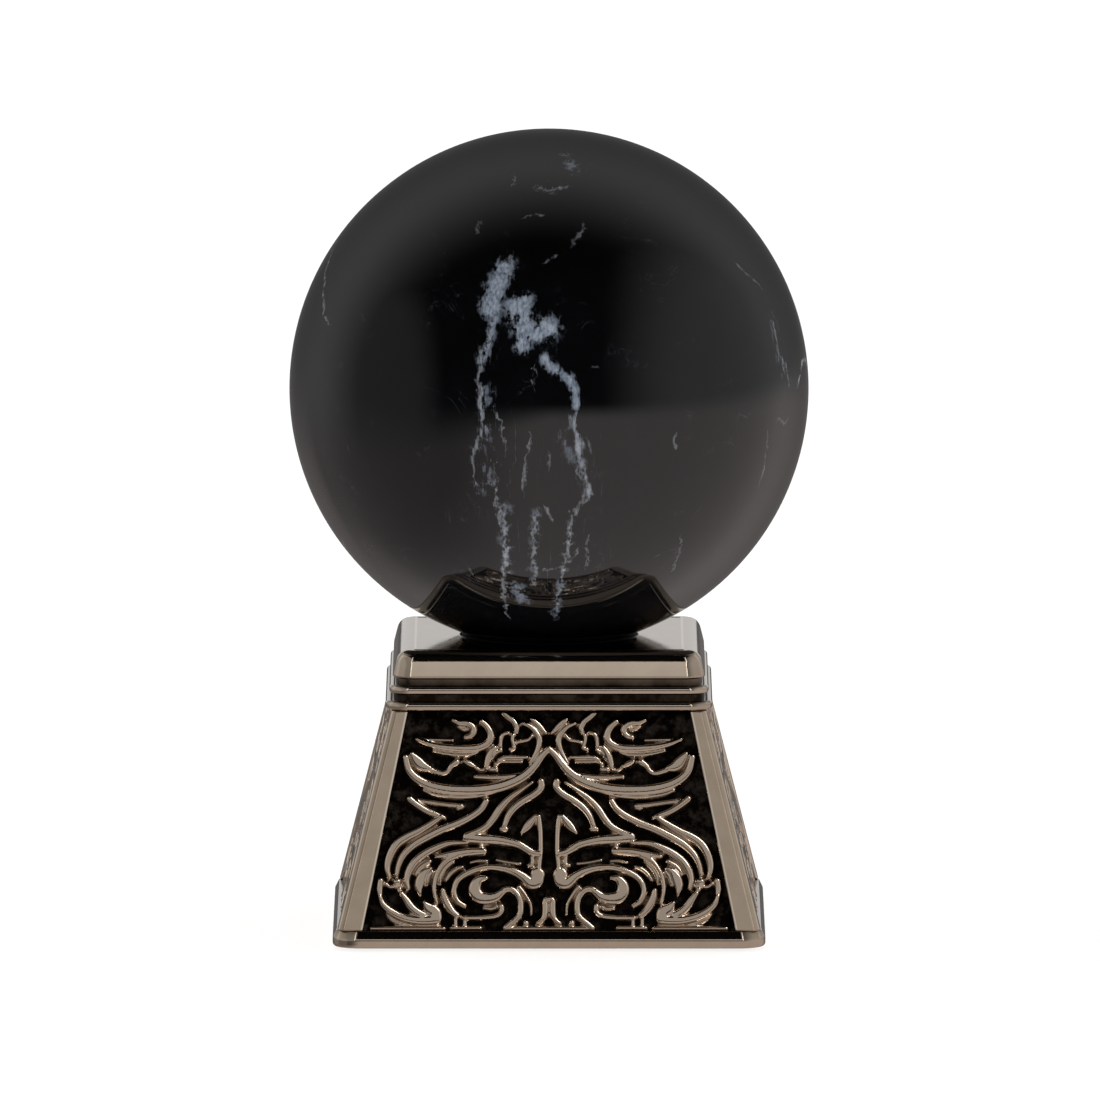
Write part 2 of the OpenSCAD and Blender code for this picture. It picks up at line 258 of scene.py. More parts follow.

# %% [markdown]
# ### Cap
# A thick plate whose upper edge is rolled over in one wide curve. Its face leans inward as the posts do.
# The top is flat out to the start of the curve, where polishing has left a hairline ridge. Its finish paints
# the ridge lighter as a painted highlight, and the rolled edge is lightened a little as rubbed wear and a
# painted highlight. Inside are the pocket for the soft ring, the counterbore for the screw and the boss and
# spigot that go down into the collar, and their finish darkens them as painted shade.

# %% Make the cap
CAP_C = 25.65
pocket_z = box_mm("seat_ring")[0][2]
cap = ring_piece("cap_casting", [
    (29.7, CAP_Z, CAP_C, 0.1, 0.3),
    (30.05, CAP_Z + 0.35, CAP_C, 0.25, 0.6),
    (28.85, CAP_TOP, CAP_C, 2.15, 0.7),
    (25.95, CAP_TOP, 25.5, 0.1, 0.5),
    (25.8, CAP_TOP + 0.09, 25.35, 0.1, 1.0),
    (25.55, CAP_TOP + 0.09, 25.1, 0.1, 1.0),
    (25.4, CAP_TOP, 24.9, 0.1, 0.5),
    (17.2, CAP_TOP, 0, 0.25, 0.5),
    (17.2, pocket_z, 0, 0.2, 0.3),
    (4.6, pocket_z, 0, 0.2, 0.3),
    (4.6, 46.8, 0, 0.1, 0.3),
    (2.75, 46.8, 0, 0.1, 0.3),
    (2.75, 43.2, 0, 0.1, 0.3),
    (9.0, 43.2, 0, 0.4, 0.3),
    (9.0, CAP_Z - 2, 0, 0.3, 0.3),
    (24.3, CAP_Z - 2, 23.8, 0.3, 0.3),
    (24.3, CAP_Z, 23.8, 0.1, 0.3),
], steps=9)

# %% [markdown]
# ### Soft ring
# A turned rubber ring with its upper face hollowed to the ball's curve, so the ball rests on a band and not
# on an edge.

# %% Make the soft ring
def on_ball(r, gap=0.1):
    """Height of the ball's underside at distance r from the axis, with a gap below it."""
    return BALL_Z - math.sqrt((BALL_R + gap) ** 2 - r**2)


ring_low, ring_high = box_mm("seat_ring")
soft_ring = ring_piece("soft_ring", [
    (17.0, ring_low[2], 0, 0.3, 0.5),
    (17.0, ring_high[2], 0, 0.5, 0.5),
    (15.3, ring_high[2], 0, 0.2, 0.5),
    (13.8, on_ball(13.8), 0, 0.5, 0.5),
    (12.2, on_ball(12.2), 0, 0.3, 0.5),
    (12.2, ring_low[2], 0, 0.3, 0.5),
])

# %% [markdown]
# ## Corner posts
# A post is a bar of L section that leans toward the middle and gets narrower as it rises. Its outer corner is
# round and the inner edge of each face has a narrow polished bevel, which catches the light as a thin line.
# Its colour is lightened there too, as rubbed wear and a painted highlight. The section is written once in
# corner coordinates and carried up the height.

# %% Make the posts
def post_bar(name, x_side, y_side):
    """A post from its section at a few heights. Corners are counted inward from the half width of the stand
    at that height: lips as wide as the post's face and 1.65 deep, and a core 3.1 deep behind them."""
    z = np.concatenate([PLINTH_TOP + np.array([0, 0.12, 0.2, 0.28, 10, 20, 30]),
                        COLLAR_Z - np.array([0.36, 0.28, 0.18, 0])])
    half = FOOT_HALF - LEAN * (z - PLINTH_TOP)
    wide = 4.9 - 1.6 * (z - PLINTH_TOP) / (COLLAR_Z - PLINTH_TOP)
    none = np.zeros_like(z)
    lip, core = none + LIP_DEEP, none + CORE_DEEP
    inward_x = np.stack([wide, wide, core, core, lip, lip, none, none], axis=1)
    inward_y = np.stack([none, lip, lip, core, core, wide, wide, none], axis=1)
    corners = half[:, None, None] - np.stack([inward_x, inward_y], axis=-1)
    section = rounded(corners, [0.55, 0.1, 0.1, 0.1, 0.1, 0.1, 0.55, 2.2], steps=9)
    middle = section.mean(axis=1, keepdims=True)
    shrink = np.array([0.93, 0.985, 1, 1, 1, 1, 1, 1, 1, 0.98, 0.92])[:, None, None]
    section = middle + (section - middle) * shrink
    height = np.repeat(z[:, None], section.shape[1], axis=1)
    points = np.stack([section[..., 0] * x_side, section[..., 1] * y_side, height], axis=-1)
    piece = surface(name, points)
    # Finish 1 on the bevels lightens them as rubbed wear and a painted highlight; the flat faces get 0.5.
    steps = np.tile(np.arange(11), 8)
    bevel = np.isin(np.arange(88) // 11, [0, 6]) & (steps > 0) & (steps < 8)
    attach(piece, "crest", np.tile(np.where(bevel, 1.0, 0.5), (len(z), 1)))
    return piece


posts = {}
for depth, y_side in (("front", -1), ("back", 1)):
    for hand, x_side in (("left", -1), ("right", 1)):
        node = "post_" + depth + "_" + hand
        posts[node] = post_bar(node + "_bar", x_side, y_side)

# %% [markdown]
# ## Relief panels
# Each panel is one casting: a thin plate with scrollwork standing 1.5 mm proud of it. The real thing is
# modelled by hand in wax, so the scrolls have round shoulders, change their width and run into one another.
# A stack of swept tubes would show seams at every meeting, so the panel is a height field: for each point
# of the plate the height is the highest of all the ribs that reach it.

# %% Write down the scrolls
# Each scroll is (width at its start, middle and end), height, and the points of its middle line: [from the
# centre line, up the slope], in millimetres. The other half of the panel mirrors them.
SCROLLS = [
    # the long moustache, the ridge under it, the ridge above it and the curl beside the centre
    ((1.2, 1.9, 1.3), 1.5, [(0, 35.3), (1.3, 34), (2.6, 32.2), (4.2, 30.5), (6.2, 29.2), (9, 28.1),
                            (12, 27.5), (15.5, 27.3), (19.5, 27.5), (22.8, 28.2), (25.2, 29.4),
                            (26.8, 31.1), (27.5, 33.6)]),
    ((0.5, 0.9, 0.6), 1.3, [(8.6, 27.5), (11.5, 26.6), (15, 26.1), (18.5, 26.1), (21.8, 26.5), (24, 27.3)]),
    ((0.8, 1.0, 1.3), 1.3, [(14.2, 29.9), (11, 29.8), (8, 29.9), (5.6, 30.1)]),
    ((0.8, 1.2, 0.8), 1.4, [(5, 40.2), (3.6, 39.6), (2.4, 38.4), (1.8, 37), (2.1, 35.4), (2.8, 33.9),
                            (3.6, 32.6)]),
    ((0.8, 1.3, 0.7), 1.5, [(3.4, 41), (2.6, 40.4), (1.6, 39.4), (0.5, 38.3)]),
    # the small flower between the curl and the upper scroll
    ((1.2, 1.2, 1.0), 1.3, [(8.7, 42.3), (7.8, 41.4), (6.8, 40.6), (6.2, 39.4), (6.3, 38.6)]),
    ((0.8, 0.9, 0.8), 1.2, [(9.3, 35.6), (9.2, 37), (8.8, 38.1), (7.8, 38.4)]),
    ((0.9, 0.8, 0.9), 1.2, [(6.9, 37.9), (7, 37), (6.8, 36.1), (6.6, 35.5), (7.3, 35.2)]),
    ((0.7, 0.8, 0.7), 1.0, [(6.2, 36.6), (5, 36.9), (4, 37.1), (3.3, 37.8)]),
    ((0.7, 0.8, 0.7), 1.2, [(9.6, 33.2), (8.4, 33.7), (6.5, 33.7), (4.2, 33.7)]),
    ((0.8, 0.6, 0.5), 1.0, [(10.2, 32.4), (9.2, 32.8), (7, 32.8), (5.2, 32.8)]),
    ((1.1, 1.3, 1.0), 1.4, [(10.4, 35.5), (10.9, 34.9), (11.5, 33.8), (11.9, 32.5), (12, 31.7)]),
    ((0.8, 0.8, 0.7), 1.2, [(9.2, 35.1), (10.3, 34.4), (11, 33.4)]),
    ((0.9, 0.9, 0.9), 1.2, [(11.2, 31.4), (10.1, 31.4)]),
    # the pair of scrolls in the upper corner and the leaf under them
    ((1.2, 1.5, 0.8), 1.5, [(12.9, 40.5), (12, 39.7), (11.3, 38.5), (11.2, 37.3), (12, 36.2), (13.6, 35.5),
                            (15.8, 35.3), (18.5, 35.4), (21, 35.7), (23.4, 36.3), (25.4, 37.1)]),
    ((0.5, 0.7, 0.5), 1.2, [(22.2, 34.9), (20, 34.4), (17, 34.1), (14.6, 34.3), (13.2, 34.9)]),
    ((0.9, 1.3, 1.0), 1.4, [(18.4, 40.8), (17.2, 40.3), (15.8, 40.2), (14.7, 39.6), (14.4, 38.6),
                            (15, 37.8), (16, 37.5)]),
    ((0.6, 0.8, 0.6), 0.8, [(17.6, 39.8), (16.3, 39.1), (15.4, 39.2)]),
    ((0.8, 0.5, 0.4), 0.8, [(25.3, 37.2), (22, 37.1), (18.5, 37)]),
    ((1.0, 2.0, 1.3), 1.5, [(26.3, 34.3), (25.3, 33), (24.3, 32), (23, 31.5)]),
    ((1.2, 1.0, 1.3), 1.3, [(23.4, 31.6), (22, 31), (20.4, 30.6), (19.4, 31), (18.7, 32), (17.7, 32.7)]),
    ((0.8, 1.1, 0.8), 1.3, [(16.2, 32.9), (15.2, 32.4), (14.2, 31.9)]),
    ((0.7, 0.7, 0.6), 0.9, [(14.2, 31.8), (13.2, 31.3), (12, 31.3)]),
    # the arches over the foot, from the outside in
    ((1.3, 1.2, 0.8), 1.4, [(26.7, 25.6), (25.2, 24.4), (23.4, 23.3), (21.6, 22.6), (20, 22)]),
    ((1.0, 1.6, 0.9), 1.5, [(20.6, 22.2), (22.5, 20.9), (25, 19.4), (27.2, 18.3), (29, 17.1), (30.2, 15.4),
                            (30.9, 13.4), (31, 11.8), (30.6, 10.4)]),
    ((1.2, 1.5, 0.9), 1.4, [(12, 25.2), (13, 23.7), (14.8, 22.3), (17.5, 20.9), (20.5, 19.7), (23.5, 18.2),
                            (26, 16.7), (27.8, 14.9), (28.8, 12.9), (29.2, 11)]),
    ((0.8, 1.5, 0.9), 1.5, [(15.8, 17.2), (19, 17.1), (21.6, 16.2), (24, 14.9), (25.8, 13.4), (26.9, 11.6),
                            (27.3, 9.8), (27, 8.3)]),
    ((1.3, 1.5, 0.8), 1.4, [(12.5, 15.5), (15, 15.4), (18, 15), (21.5, 14.5)]),
    ((1.5, 1.0, 0.8), 1.4, [(17.8, 14.8), (19.3, 14), (20.5, 12.8), (21.4, 11.3), (21.9, 9.5), (22, 7.6),
                            (21.5, 5.5)]),
    ((0.9, 0.9, 0.9), 1.2, [(13, 16.6), (12.6, 15.8)]),
    ((0.6, 0.7, 0.5), 0.9, [(18.4, 13.5), (19.8, 12.2), (20.7, 10.6), (20.9, 9.3)]),
    ((0.7, 0.9, 0.7), 1.2, [(16.6, 12.5), (17.6, 12.2), (18.8, 11.3), (19.7, 10)]),
    ((0.8, 1.0, 0.6), 1.0, [(22.8, 13.6), (24.4, 12.6), (25.6, 11.2)]),
    ((0.7, 1.8, 0.6), 1.3, [(22.6, 12.2), (23.8, 11.4), (24.6, 10), (24.9, 8.5), (24.7, 7)]),
    ((0.6, 0.8, 0.5), 1.0, [(22.3, 11.6), (23.1, 10.5), (23.4, 9)]),
    ((0.8, 0.8, 0.7), 0.6, [(25.4, 25.4), (22.5, 25), (19.5, 24.6), (16.8, 24.4)]),
    ((0.9, 0.9, 0.9), 0.6, [(17.4, 24), (16.8, 24.2)]),
    # the diagonal stems and the centre stem with its flag
    ((0.6, 1.4, 1.1), 1.4, [(3.2, 28.8), (5.4, 27.3), (7.6, 25.7), (9.4, 23.8), (10.7, 21.8), (12, 20.3),
                            (13.8, 19.3), (15.6, 18.7)]),
    ((1.3, 1.4, 1.1), 1.4, [(1.5, 29), (1.5, 27.8), (2.8, 26.5), (4.8, 25.3), (6.6, 23.9), (7.8, 22.3),
                            (8.5, 20.5)]),
    ((1.0, 1.1, 1.0), 1.3, [(9.1, 19.8), (8.2, 19.8)]),
    ((1.1, 1.0, 0.9), 1.4, [(2, 22.2), (1.7, 20), (1.6, 17.5), (1.6, 15), (1.8, 13), (1.9, 11.3)]),
    ((1.1, 1.5, 0.8), 1.4, [(2.6, 22.2), (3.6, 21), (4.4, 20), (5.2, 19.1)]),
    # the arch that joins the centre stem and the lines under it
    ((1.9, 1.5, 1.3), 1.5, [(15.6, 18.2), (13, 17.9), (10.5, 17.8), (8, 17.4), (5.8, 16.8), (4.4, 16),
                            (3.2, 15.3), (1.9, 15)]),
    ((0.5, 0.6, 0.5), 1.1, [(12.5, 17), (9.8, 16.9), (7.4, 16.5)]),
    ((0.9, 0.9, 0.9), 1.2, [(3.2, 14.6), (3.2, 13), (3.8, 12.8)]),
    ((0.5, 0.5, 0.4), 0.7, [(5.5, 13.2), (7.5, 13.4), (10, 13.9)]),
    ((0.4, 0.5, 0.4), 0.8, [(11.9, 13.7), (13.5, 13.7), (15, 13.4)]),
    # the spiral: its outer arch, the comma inside it and the tail that runs down to the foot
    ((2.6, 1.2, 1.0), 1.5, [(2.2, 11), (2.4, 9.6), (3.4, 9.3), (5, 10.6), (7, 11.7), (9.5, 12.3),
                            (12, 12.4), (14.5, 11.8), (16.5, 10.8), (17.7, 9.6), (18.2, 8), (18, 6.8),
                            (17.3, 5.7), (16.2, 5)]),
    ((0.9, 2.3, 1.4), 1.5, [(12, 10.3), (13.2, 10.1), (14, 9.2), (14.2, 7.9), (13.4, 6.7), (11.8, 6.4),
                            (10.2, 6.7), (9, 7.6)]),
    ((1.4, 1.2, 1.2), 1.4, [(9.6, 7.1), (8.6, 8), (7.4, 8.2), (6.3, 7.5), (5.6, 6.2), (5.4, 4.6),
                            (5.6, 3.3), (6.4, 2.3), (7.4, 1.5), (8.3, 0.7)]),
    ((0.9, 0.7, 0.5), 1.2, [(5.7, 8.6), (5, 7.8), (4.2, 6.6), (3.6, 5.5), (3.4, 4.4), (3.4, 3.4)]),
    ((0.9, 1.5, 1.2), 1.4, [(20.3, 8), (20, 6.6), (19.4, 5.2), (18.6, 4), (17.6, 3.1)]),
    ((0.9, 1.0, 1.1), 1.3, [(16.4, 2.7), (14, 2.7), (11.5, 2.8), (10, 3.1), (9.1, 3.9), (9.1, 4.9)]),
    ((0.6, 0.7, 0.6), 0.8, [(12.4, 4.6), (10.9, 4.5), (10, 4.9)]),
    ((0.8, 0.8, 0.8), 1.2, [(17.9, 2.8), (17.9, 1.2)]),
    ((0.8, 0.8, 0.8), 1.2, [(16.1, 2.6), (16.1, 1.2)]),
    # the corner scroll with its leaves and knobs
    ((1.2, 1.2, 1.0), 1.3, [(32.3, 9.8), (32.5, 8.4), (32.4, 7)]),
    ((0.9, 1.5, 1.8), 1.5, [(32.4, 6.8), (31.8, 5.3), (30.3, 3.9), (28.2, 2.8), (25.5, 2.2), (23, 2.2),
                            (21.6, 2.4)]),
    ((2.2, 2.2, 0.8), 1.5, [(21.7, 2.6), (21.9, 3.7), (23, 4.5), (23.9, 5.6)]),
    ((1.0, 1.5, 1.6), 1.4, [(28.3, 7.4), (27.4, 6.2), (26.6, 5), (25.5, 3.9), (24.2, 3.1)]),
    ((0.5, 0.6, 0.5), 0.9, [(31.4, 3.7), (30.1, 2.3), (28.4, 1.5), (26.6, 1.3)]),
    ((0.6, 0.7, 0.6), 1.0, [(31.4, 9.4), (30.4, 8.7), (29, 8.9), (27.6, 8.9)]),
    ((1.3, 1.3, 1.3), 1.4, [(29.2, 9.6), (29, 9.6)]),
    ((0.9, 0.9, 0.9), 1.2, [(28.8, 8.2), (28.6, 8.2)]),
    # the small arch at the foot of the centre, its knob and the rail in three stretches
    ((1.1, 1.2, 0.9), 1.4, [(0, 6.3), (0.7, 6), (0.7, 4.5), (0.8, 3.2), (1.2, 2.3), (2.1, 1.6)]),
    ((1.1, 1.1, 1.1), 1.2, [(4.4, 1.7), (4.4, 1.5)]),
    ((0.9, 0.9, 0.9), 1.2, [(0, 0.6), (4, 0.6), (8.3, 0.6)]),
    ((0.9, 0.9, 0.9), 1.2, [(13.2, 0.7), (18.5, 0.7)]),
    ((0.9, 0.9, 0.9), 1.2, [(20.2, 0.6), (27, 0.6), (34, 0.6)]),
]
print(len(SCROLLS), "scrolls in each half of a panel")

# %% Work out the relief
SHOULDER = 0.65


def rib(x, v, widths, high, points):
    """Height of one scroll over the points (x, v). With d the distance to the middle line and w = 0.62
    times its width there plus 0.2 mm, it is high times 0.28 (1 - (d/w)^2) plus 0.72 of a quarter sine wave
    over the outer 0.65 mm: the top is softly domed and the shoulders are round."""
    line = smooth_path(points, 0.12)
    along = np.linspace(0, 1, len(line))
    swell = np.sin(np.pi * along)
    wide = np.where(along < 0.5, widths[0], widths[2]) * (1 - swell) + widths[1] * swell
    height = np.zeros_like(x)
    low, top = line.min(axis=0) - 1.7, line.max(axis=0) + 1.7
    near = (x > low[0]) & (x < top[0]) & (v > low[1]) & (v < top[1])
    apart = np.hypot(x[near][:, None] - line[None, :, 0], v[near][:, None] - line[None, :, 1])
    nearest = apart.argmin(axis=1)
    d = apart[np.arange(len(nearest)), nearest]
    w = 0.62 * wide[nearest] + 0.2
    inside = np.clip((w - d) / SHOULDER, 0, 1)
    shape = 0.28 * np.clip(1 - (d / w) ** 2, 0, 1) + 0.72 * np.sin(np.pi / 2 * inside)
    height[near] = high * np.maximum(shape, 0)
    return height


def blur(field, reach):
    """The mean of a field over a square of 2 reach + 1 points, taken twice along each direction."""
    kernel = np.ones(2 * reach + 1) / (2 * reach + 1)
    for axis in (0, 1, 0, 1):
        field = np.apply_along_axis(lambda line: np.convolve(np.pad(line, reach, "edge"), kernel, "valid"),
                                    axis, field)
    return field


COLUMNS, ROWS = 401, 240
across = np.linspace(-1, 1, COLUMNS)[None]
up = np.linspace(-0.8, SLOPE + 0.8, ROWS)[:, None]
half_wide = FOOT_HALF - 3.2 - math.sin(TILT) * up
plate_x = across * half_wide
plate_v = up + 0 * plate_x
relief = np.zeros_like(plate_x)
for widths, high, points in SCROLLS:
    relief = np.maximum(relief, rib(abs(plate_x), plate_v, widths, high, points))
window = np.clip((FOOT_HALF - 4.95 - (LEAN - 1.6 / 41.3) * 0.97 * up - abs(plate_x)) / 0.3, 0, 1)
window = window * np.clip((up - 0.1) / 0.1, 0, 1) * np.clip((SLOPE - 0.1 - up) / 0.1, 0, 1)
relief = relief * window
print("relief grid", relief.shape, "highest", round(float(relief.max()), 2), "mm")

# %% [markdown]
# The ground between the scrolls is not smooth: it was textured in the wax and is darkened by patina. A few
# seeded waves give it an uneven surface of less than a tenth of a millimetre. Two more fields are kept for
# the material: how high a point is and how deep it lies in a hollow, which is the blurred height less the
# height. The material darkens the hollows by the second as painted shade.

# %% Make the panels
rng = np.random.default_rng(7)
ground = np.zeros_like(relief)
for wave in range(26):
    size = rng.uniform(0.7, 2.6)
    turn, phase = rng.uniform(0, np.pi), rng.uniform(0, 2 * np.pi)
    ground += np.sin(2 * np.pi / size * (plate_x * math.cos(turn) + plate_v * math.sin(turn)) + phase)
ground = 0.07 * ground / np.abs(ground).max()
relief_height = relief + ground * (relief < 0.3) * window
# Painted shade: the depth below the blurred height, by which the material darkens the ground beside the
# scrolls.
hollow_shade = np.clip((blur(relief, 6) - relief) / 0.7, 0, 1)


def panel_casting(name, side):
    """A panel as a loft: each row runs across the relief in front and back along the plate behind. Side i
    is the front one turned by i quarter turns about the axis."""
    x = np.hstack([plate_x, plate_x[:, -1:], plate_x[:, :1]])
    v = np.hstack([plate_v, plate_v[:, :2]])
    out = np.hstack([PLATE_FRONT + relief_height, np.full((ROWS, 2), PLATE_BACK)])
    y = -FOOT_HALF + v * math.sin(TILT) - out * math.cos(TILT)
    z = PLINTH_TOP + v * math.cos(TILT) + out * math.sin(TILT)
    cos, sin = round(math.cos(side * math.pi / 2)), round(math.sin(side * math.pi / 2))
    piece = surface(name, np.stack([x * cos - y * sin, x * sin + y * cos, z], axis=-1))
    none = np.zeros((ROWS, 2))
    attach(piece, "relief", np.hstack([relief / RELIEF_HIGH, none]))
    attach(piece, "hollow_shade", np.hstack([hollow_shade, none]))
    return piece


panels = {}
for side, hand in enumerate(("front", "right", "back", "left")):
    panels["panel_" + hand] = panel_casting("panel_" + hand + "_casting", side)

# %% [markdown]
# ## Felt pad
# A sheet of pressed wool felt, 73 mm square and 0.9 mm thick, glued under the bottom plate. Its cut edge is
# soft and its faces are a little uneven, so it is a closed sheet of rings with seeded waves on it.

# %% Make the felt pad
felt_low, felt_high = box_mm("felt_pad")
felt_half = felt_high[0]
thick = felt_high[2]
shell = np.array([0.4, 4, 8, 12, 16, 20, 24, 28, 31, 33.5, 35, 36, 36.35]) * felt_half / 36.5
rim = np.array([36.46, 36.5, 36.46]) * felt_half / 36.5
felt_rows = np.concatenate([shell, rim, shell[::-1]])
felt_z = np.concatenate([np.zeros(len(shell)), [0.15, 0.45, 0.75], np.full(len(shell), thick)])
felt_z[[11, 12]] = 0.01, 0.06
felt_z[[16, 17]] = thick - 0.06, thick - 0.01
angles = ring_angles()
radius = ring_radius(felt_rows[:, None], felt_rows[:, None] * 34.5 / 36.5, angles[None])
radius = radius - 0.05 * (1 + np.sin(angles * 61) * np.sin(angles * 23 + felt_z[:, None] * 9)) * (radius > 35)
felt_height = np.repeat(felt_z[:, None], len(angles), axis=1)
felt_height = felt_height - 0.02 * (1 + np.sin(radius * 3.1) * np.sin(angles * 37)) * (felt_z[:, None] > 0.8)
felt_points = np.stack([radius * np.cos(angles), radius * np.sin(angles), felt_height], axis=-1)
felt = surface("felt_sheet", felt_points)

# %% [markdown]
# ## The ball
# The ball is ground and polished from one block of black stone. A globe with poles would crowd its faces at
# two points, so it is a cube blown up to a sphere: six grids whose lines are spaced by the tangent, which
# makes the faces nearly equal. Points on the cube's edges are merged, so the ball is closed.

# %% Make the ball
def cube_ball(name, n, radius, centre_z):
    """A cube of n by n quads a side, blown up to a sphere. A grid point (tan a, tan b, 1), with a and b
    from -45 to 45 degrees, is divided by its length and turned to each of the six sides."""
    t = np.tan(np.linspace(-np.pi / 4, np.pi / 4, n + 1))
    u, v = np.meshgrid(t, t, indexing="ij")
    face = np.stack([u, v, np.ones_like(u)], axis=-1)
    face /= np.linalg.norm(face, axis=-1, keepdims=True)
    x, y, z = face[..., 0], face[..., 1], face[..., 2]
    sides = np.stack([np.stack(s, axis=-1) for s in
                      ((x, y, z), (y, x, -z), (z, x, y), (-z, y, x), (y, z, x), (x, -z, y))])
    flat = sides.reshape(-1, 3)
    unique, where = np.unique(np.round(flat, 6) + 0.0, axis=0, return_inverse=True)
    where = where.reshape(6, n + 1, n + 1)
    quads = np.stack([where[:, :-1, :-1], where[:, 1:, :-1], where[:, 1:, 1:], where[:, :-1, 1:]], axis=-1)
    unique /= np.linalg.norm(unique, axis=1, keepdims=True)
    mesh = bpy.data.meshes.new(name)
    mesh.from_pydata(((unique * radius + [0, 0, centre_z]) * MM).tolist(), [], quads.reshape(-1, 4).tolist())
    mesh.polygons.foreach_set("use_smooth", [True] * len(mesh.polygons))
    mesh.update()
    piece = bpy.data.objects.new(name, mesh)
    bpy.context.scene.collection.objects.link(piece)
    print(name, len(mesh.vertices), "points,", len(mesh.polygons), "quads")
    return piece, unique


ball, ball_out = cube_ball("polished_ball", 128, BALL_R, BALL_Z)

# %% [markdown]
# ### Veins
# The veins are cracks that filled with quartz: thin pale strands that wander, fork and fade, and milky
# clouds beside them. A noise pattern alone gives an even net all over, and the real ones run in a few
# places, so the main veins are drawn as paths on the ball. Each point of the mesh stores how far it is to
# one side of the nearest vein, how wide that vein is there and how bright; the material turns this into a
# crisp line and frays it. A signed distance stays straight between two points, so a vein may be thinner
# than the mesh is fine.

# %% Write down the veins
# Each vein is (half width in mm, brightness, points), and a point is (degrees to the right of the front,
# degrees above the middle). Veins that lie close together are in different groups.
STRANDS_A = [
    (0.42, 0.95, [(-13, 19), (-15, 14), (-16, 9), (-15, 3), (-15, -3), (-17, -8), (-17, -17)]),
    (0.45, 1.0, [(6, 2), (6, -4), (7, -11), (9, -17), (6, -21), (5, -27), (4, -38), (2, -54)]),
    (0.34, 0.8, [(-3, -20), (-4, -33), (-4, -43)]),
    (0.5, 0.55, [(65, 19), (64, 11), (66, 5)]),
    (0.4, 0.6, [(-5, 57), (1, 56), (7, 57)]),
    (0.22, 0.5, [(29, -4), (29, -8)]),
    (0.2, 0.45, [(35, -28), (37, -34), (38, -40)]),
    (0.2, 0.5, [(-22, 46), (-22, 42)]),
    (0.2, 0.4, [(-23, -37), (-21, -42)]),
]
STRANDS_B = [
    (0.46, 1.0, [(-12, -15), (-12, -20), (-11, -27), (-12, -36), (-14, -45), (-16, -57)]),
    (0.3, 0.75, [(0, -7), (0, -12)]),
    (0.3, 0.7, [(-2, -20), (1, -24)]),
    (0.34, 0.5, [(11, 46), (9, 42), (6, 39)]),
    (0.22, 0.45, [(57, -4), (58, -12), (58, -19)]),
    (0.24, 0.65, [(10, -27), (10, -33), (10, -38)]),
    (0.2, 0.45, [(-16, 62), (-15, 57)]),
    (0.2, 0.5, [(-3, 12), (-3, 6)]),
    (0.22, 0.5, [(-9, 47), (-5, 48), (-1, 48)]),
]
STRANDS_C = [
    (0.26, 0.7, [(-4, -3), (-5, -9), (-6, -14), (-6, -18)]),
    (0.24, 0.4, [(57, 33), (61, 29), (66, 24)]),
    (0.24, 0.65, [(8, -31), (4, -36), (-3, -38)]),
    (0.2, 0.4, [(61, -4), (65, -5), (68, -4)]),
    (0.24, 0.55, [(-10, 38), (-11, 33)]),
    (0.24, 0.45, [(-2, 35), (0, 36), (3, 37)]),
    (0.22, 0.6, [(-12, 3), (-10, -4), (-10, -9)]),
    (0.24, 0.6, [(-13, -9), (-12, -14), (-16, -15)]),
    (0.2, 0.5, [(9, 11), (11, 11)]),
    (0.2, 0.4, [(8, -4), (10, -8)]),
]
CLOUDS = [
    (2.4, 1.0, [(-12, 34), (-13, 30), (-14, 26), (-14, 24)]),
    (1.5, 0.75, [(-13, 22), (-14, 18), (-15, 13)]),
    (2.5, 1.0, [(-8, 25), (-6, 20), (-3, 19), (0, 20)]),
    (2.0, 0.9, [(-6, 26), (-6, 22), (-6, 16)]),
    (1.2, 0.9, [(-1, 13), (2, 10), (5, 8), (6, 3)]),
    (1.2, 0.6, [(5, 0), (6, -4), (7, -8), (7, -12), (9, -17)]),
    (1.4, 0.42, [(3, -4), (5, -9)]),
    (1.9, 0.46, [(-14, 6), (-14, -3), (-16, -8), (-14, -14), (-17, -17)]),
    (1.7, 0.5, [(-10, -21), (-11, -28), (-11, -38)]),
    (1.4, 0.45, [(-3, -22), (-4, -33), (-5, -42)]),
    (1.9, 0.72, [(-10, -43), (-9, -48)]),
    (1.2, 0.5, [(5, -25), (5, -30)]),
    (1.3, 0.6, [(4, -38), (3, -47), (2, -55)]),
    (2.2, 0.42, [(65, 18), (64, 11), (67, 5)]),
    (1.6, 0.5, [(12, 70), (12, 62)]),
    (1.6, 0.4, [(-4, 57), (1, 56), (7, 57)]),
]
print(len(STRANDS_A) + len(STRANDS_B) + len(STRANDS_C), "strands and", len(CLOUDS), "clouds in front")

# %% Carry the veins over the ball
def toward(turn_degrees):
    """Unit vectors from (degrees right of the front, degrees up): (cos up sin right, -cos up cos right, sin
    up)."""
    right, above = np.radians(np.asarray(turn_degrees, float)).T
    return np.stack([np.cos(above) * np.sin(right), -np.cos(above) * np.cos(right), np.sin(above)], axis=-1)


def wander(start, heading, steps):
    """A seeded vein for the sides that were not listed: from a start it keeps a heading and turns a little at
    each step of about 4 degrees."""
    turns = np.cumsum(rng.normal(0, 0.35, steps)) + heading
    up = start[1] + np.cumsum(4 * np.sin(turns))
    right = start[0] + np.cumsum(4 * np.cos(turns) / np.maximum(np.cos(np.radians(up)), 0.25))
    return np.stack([right, np.clip(up, -80, 80)], axis=1)


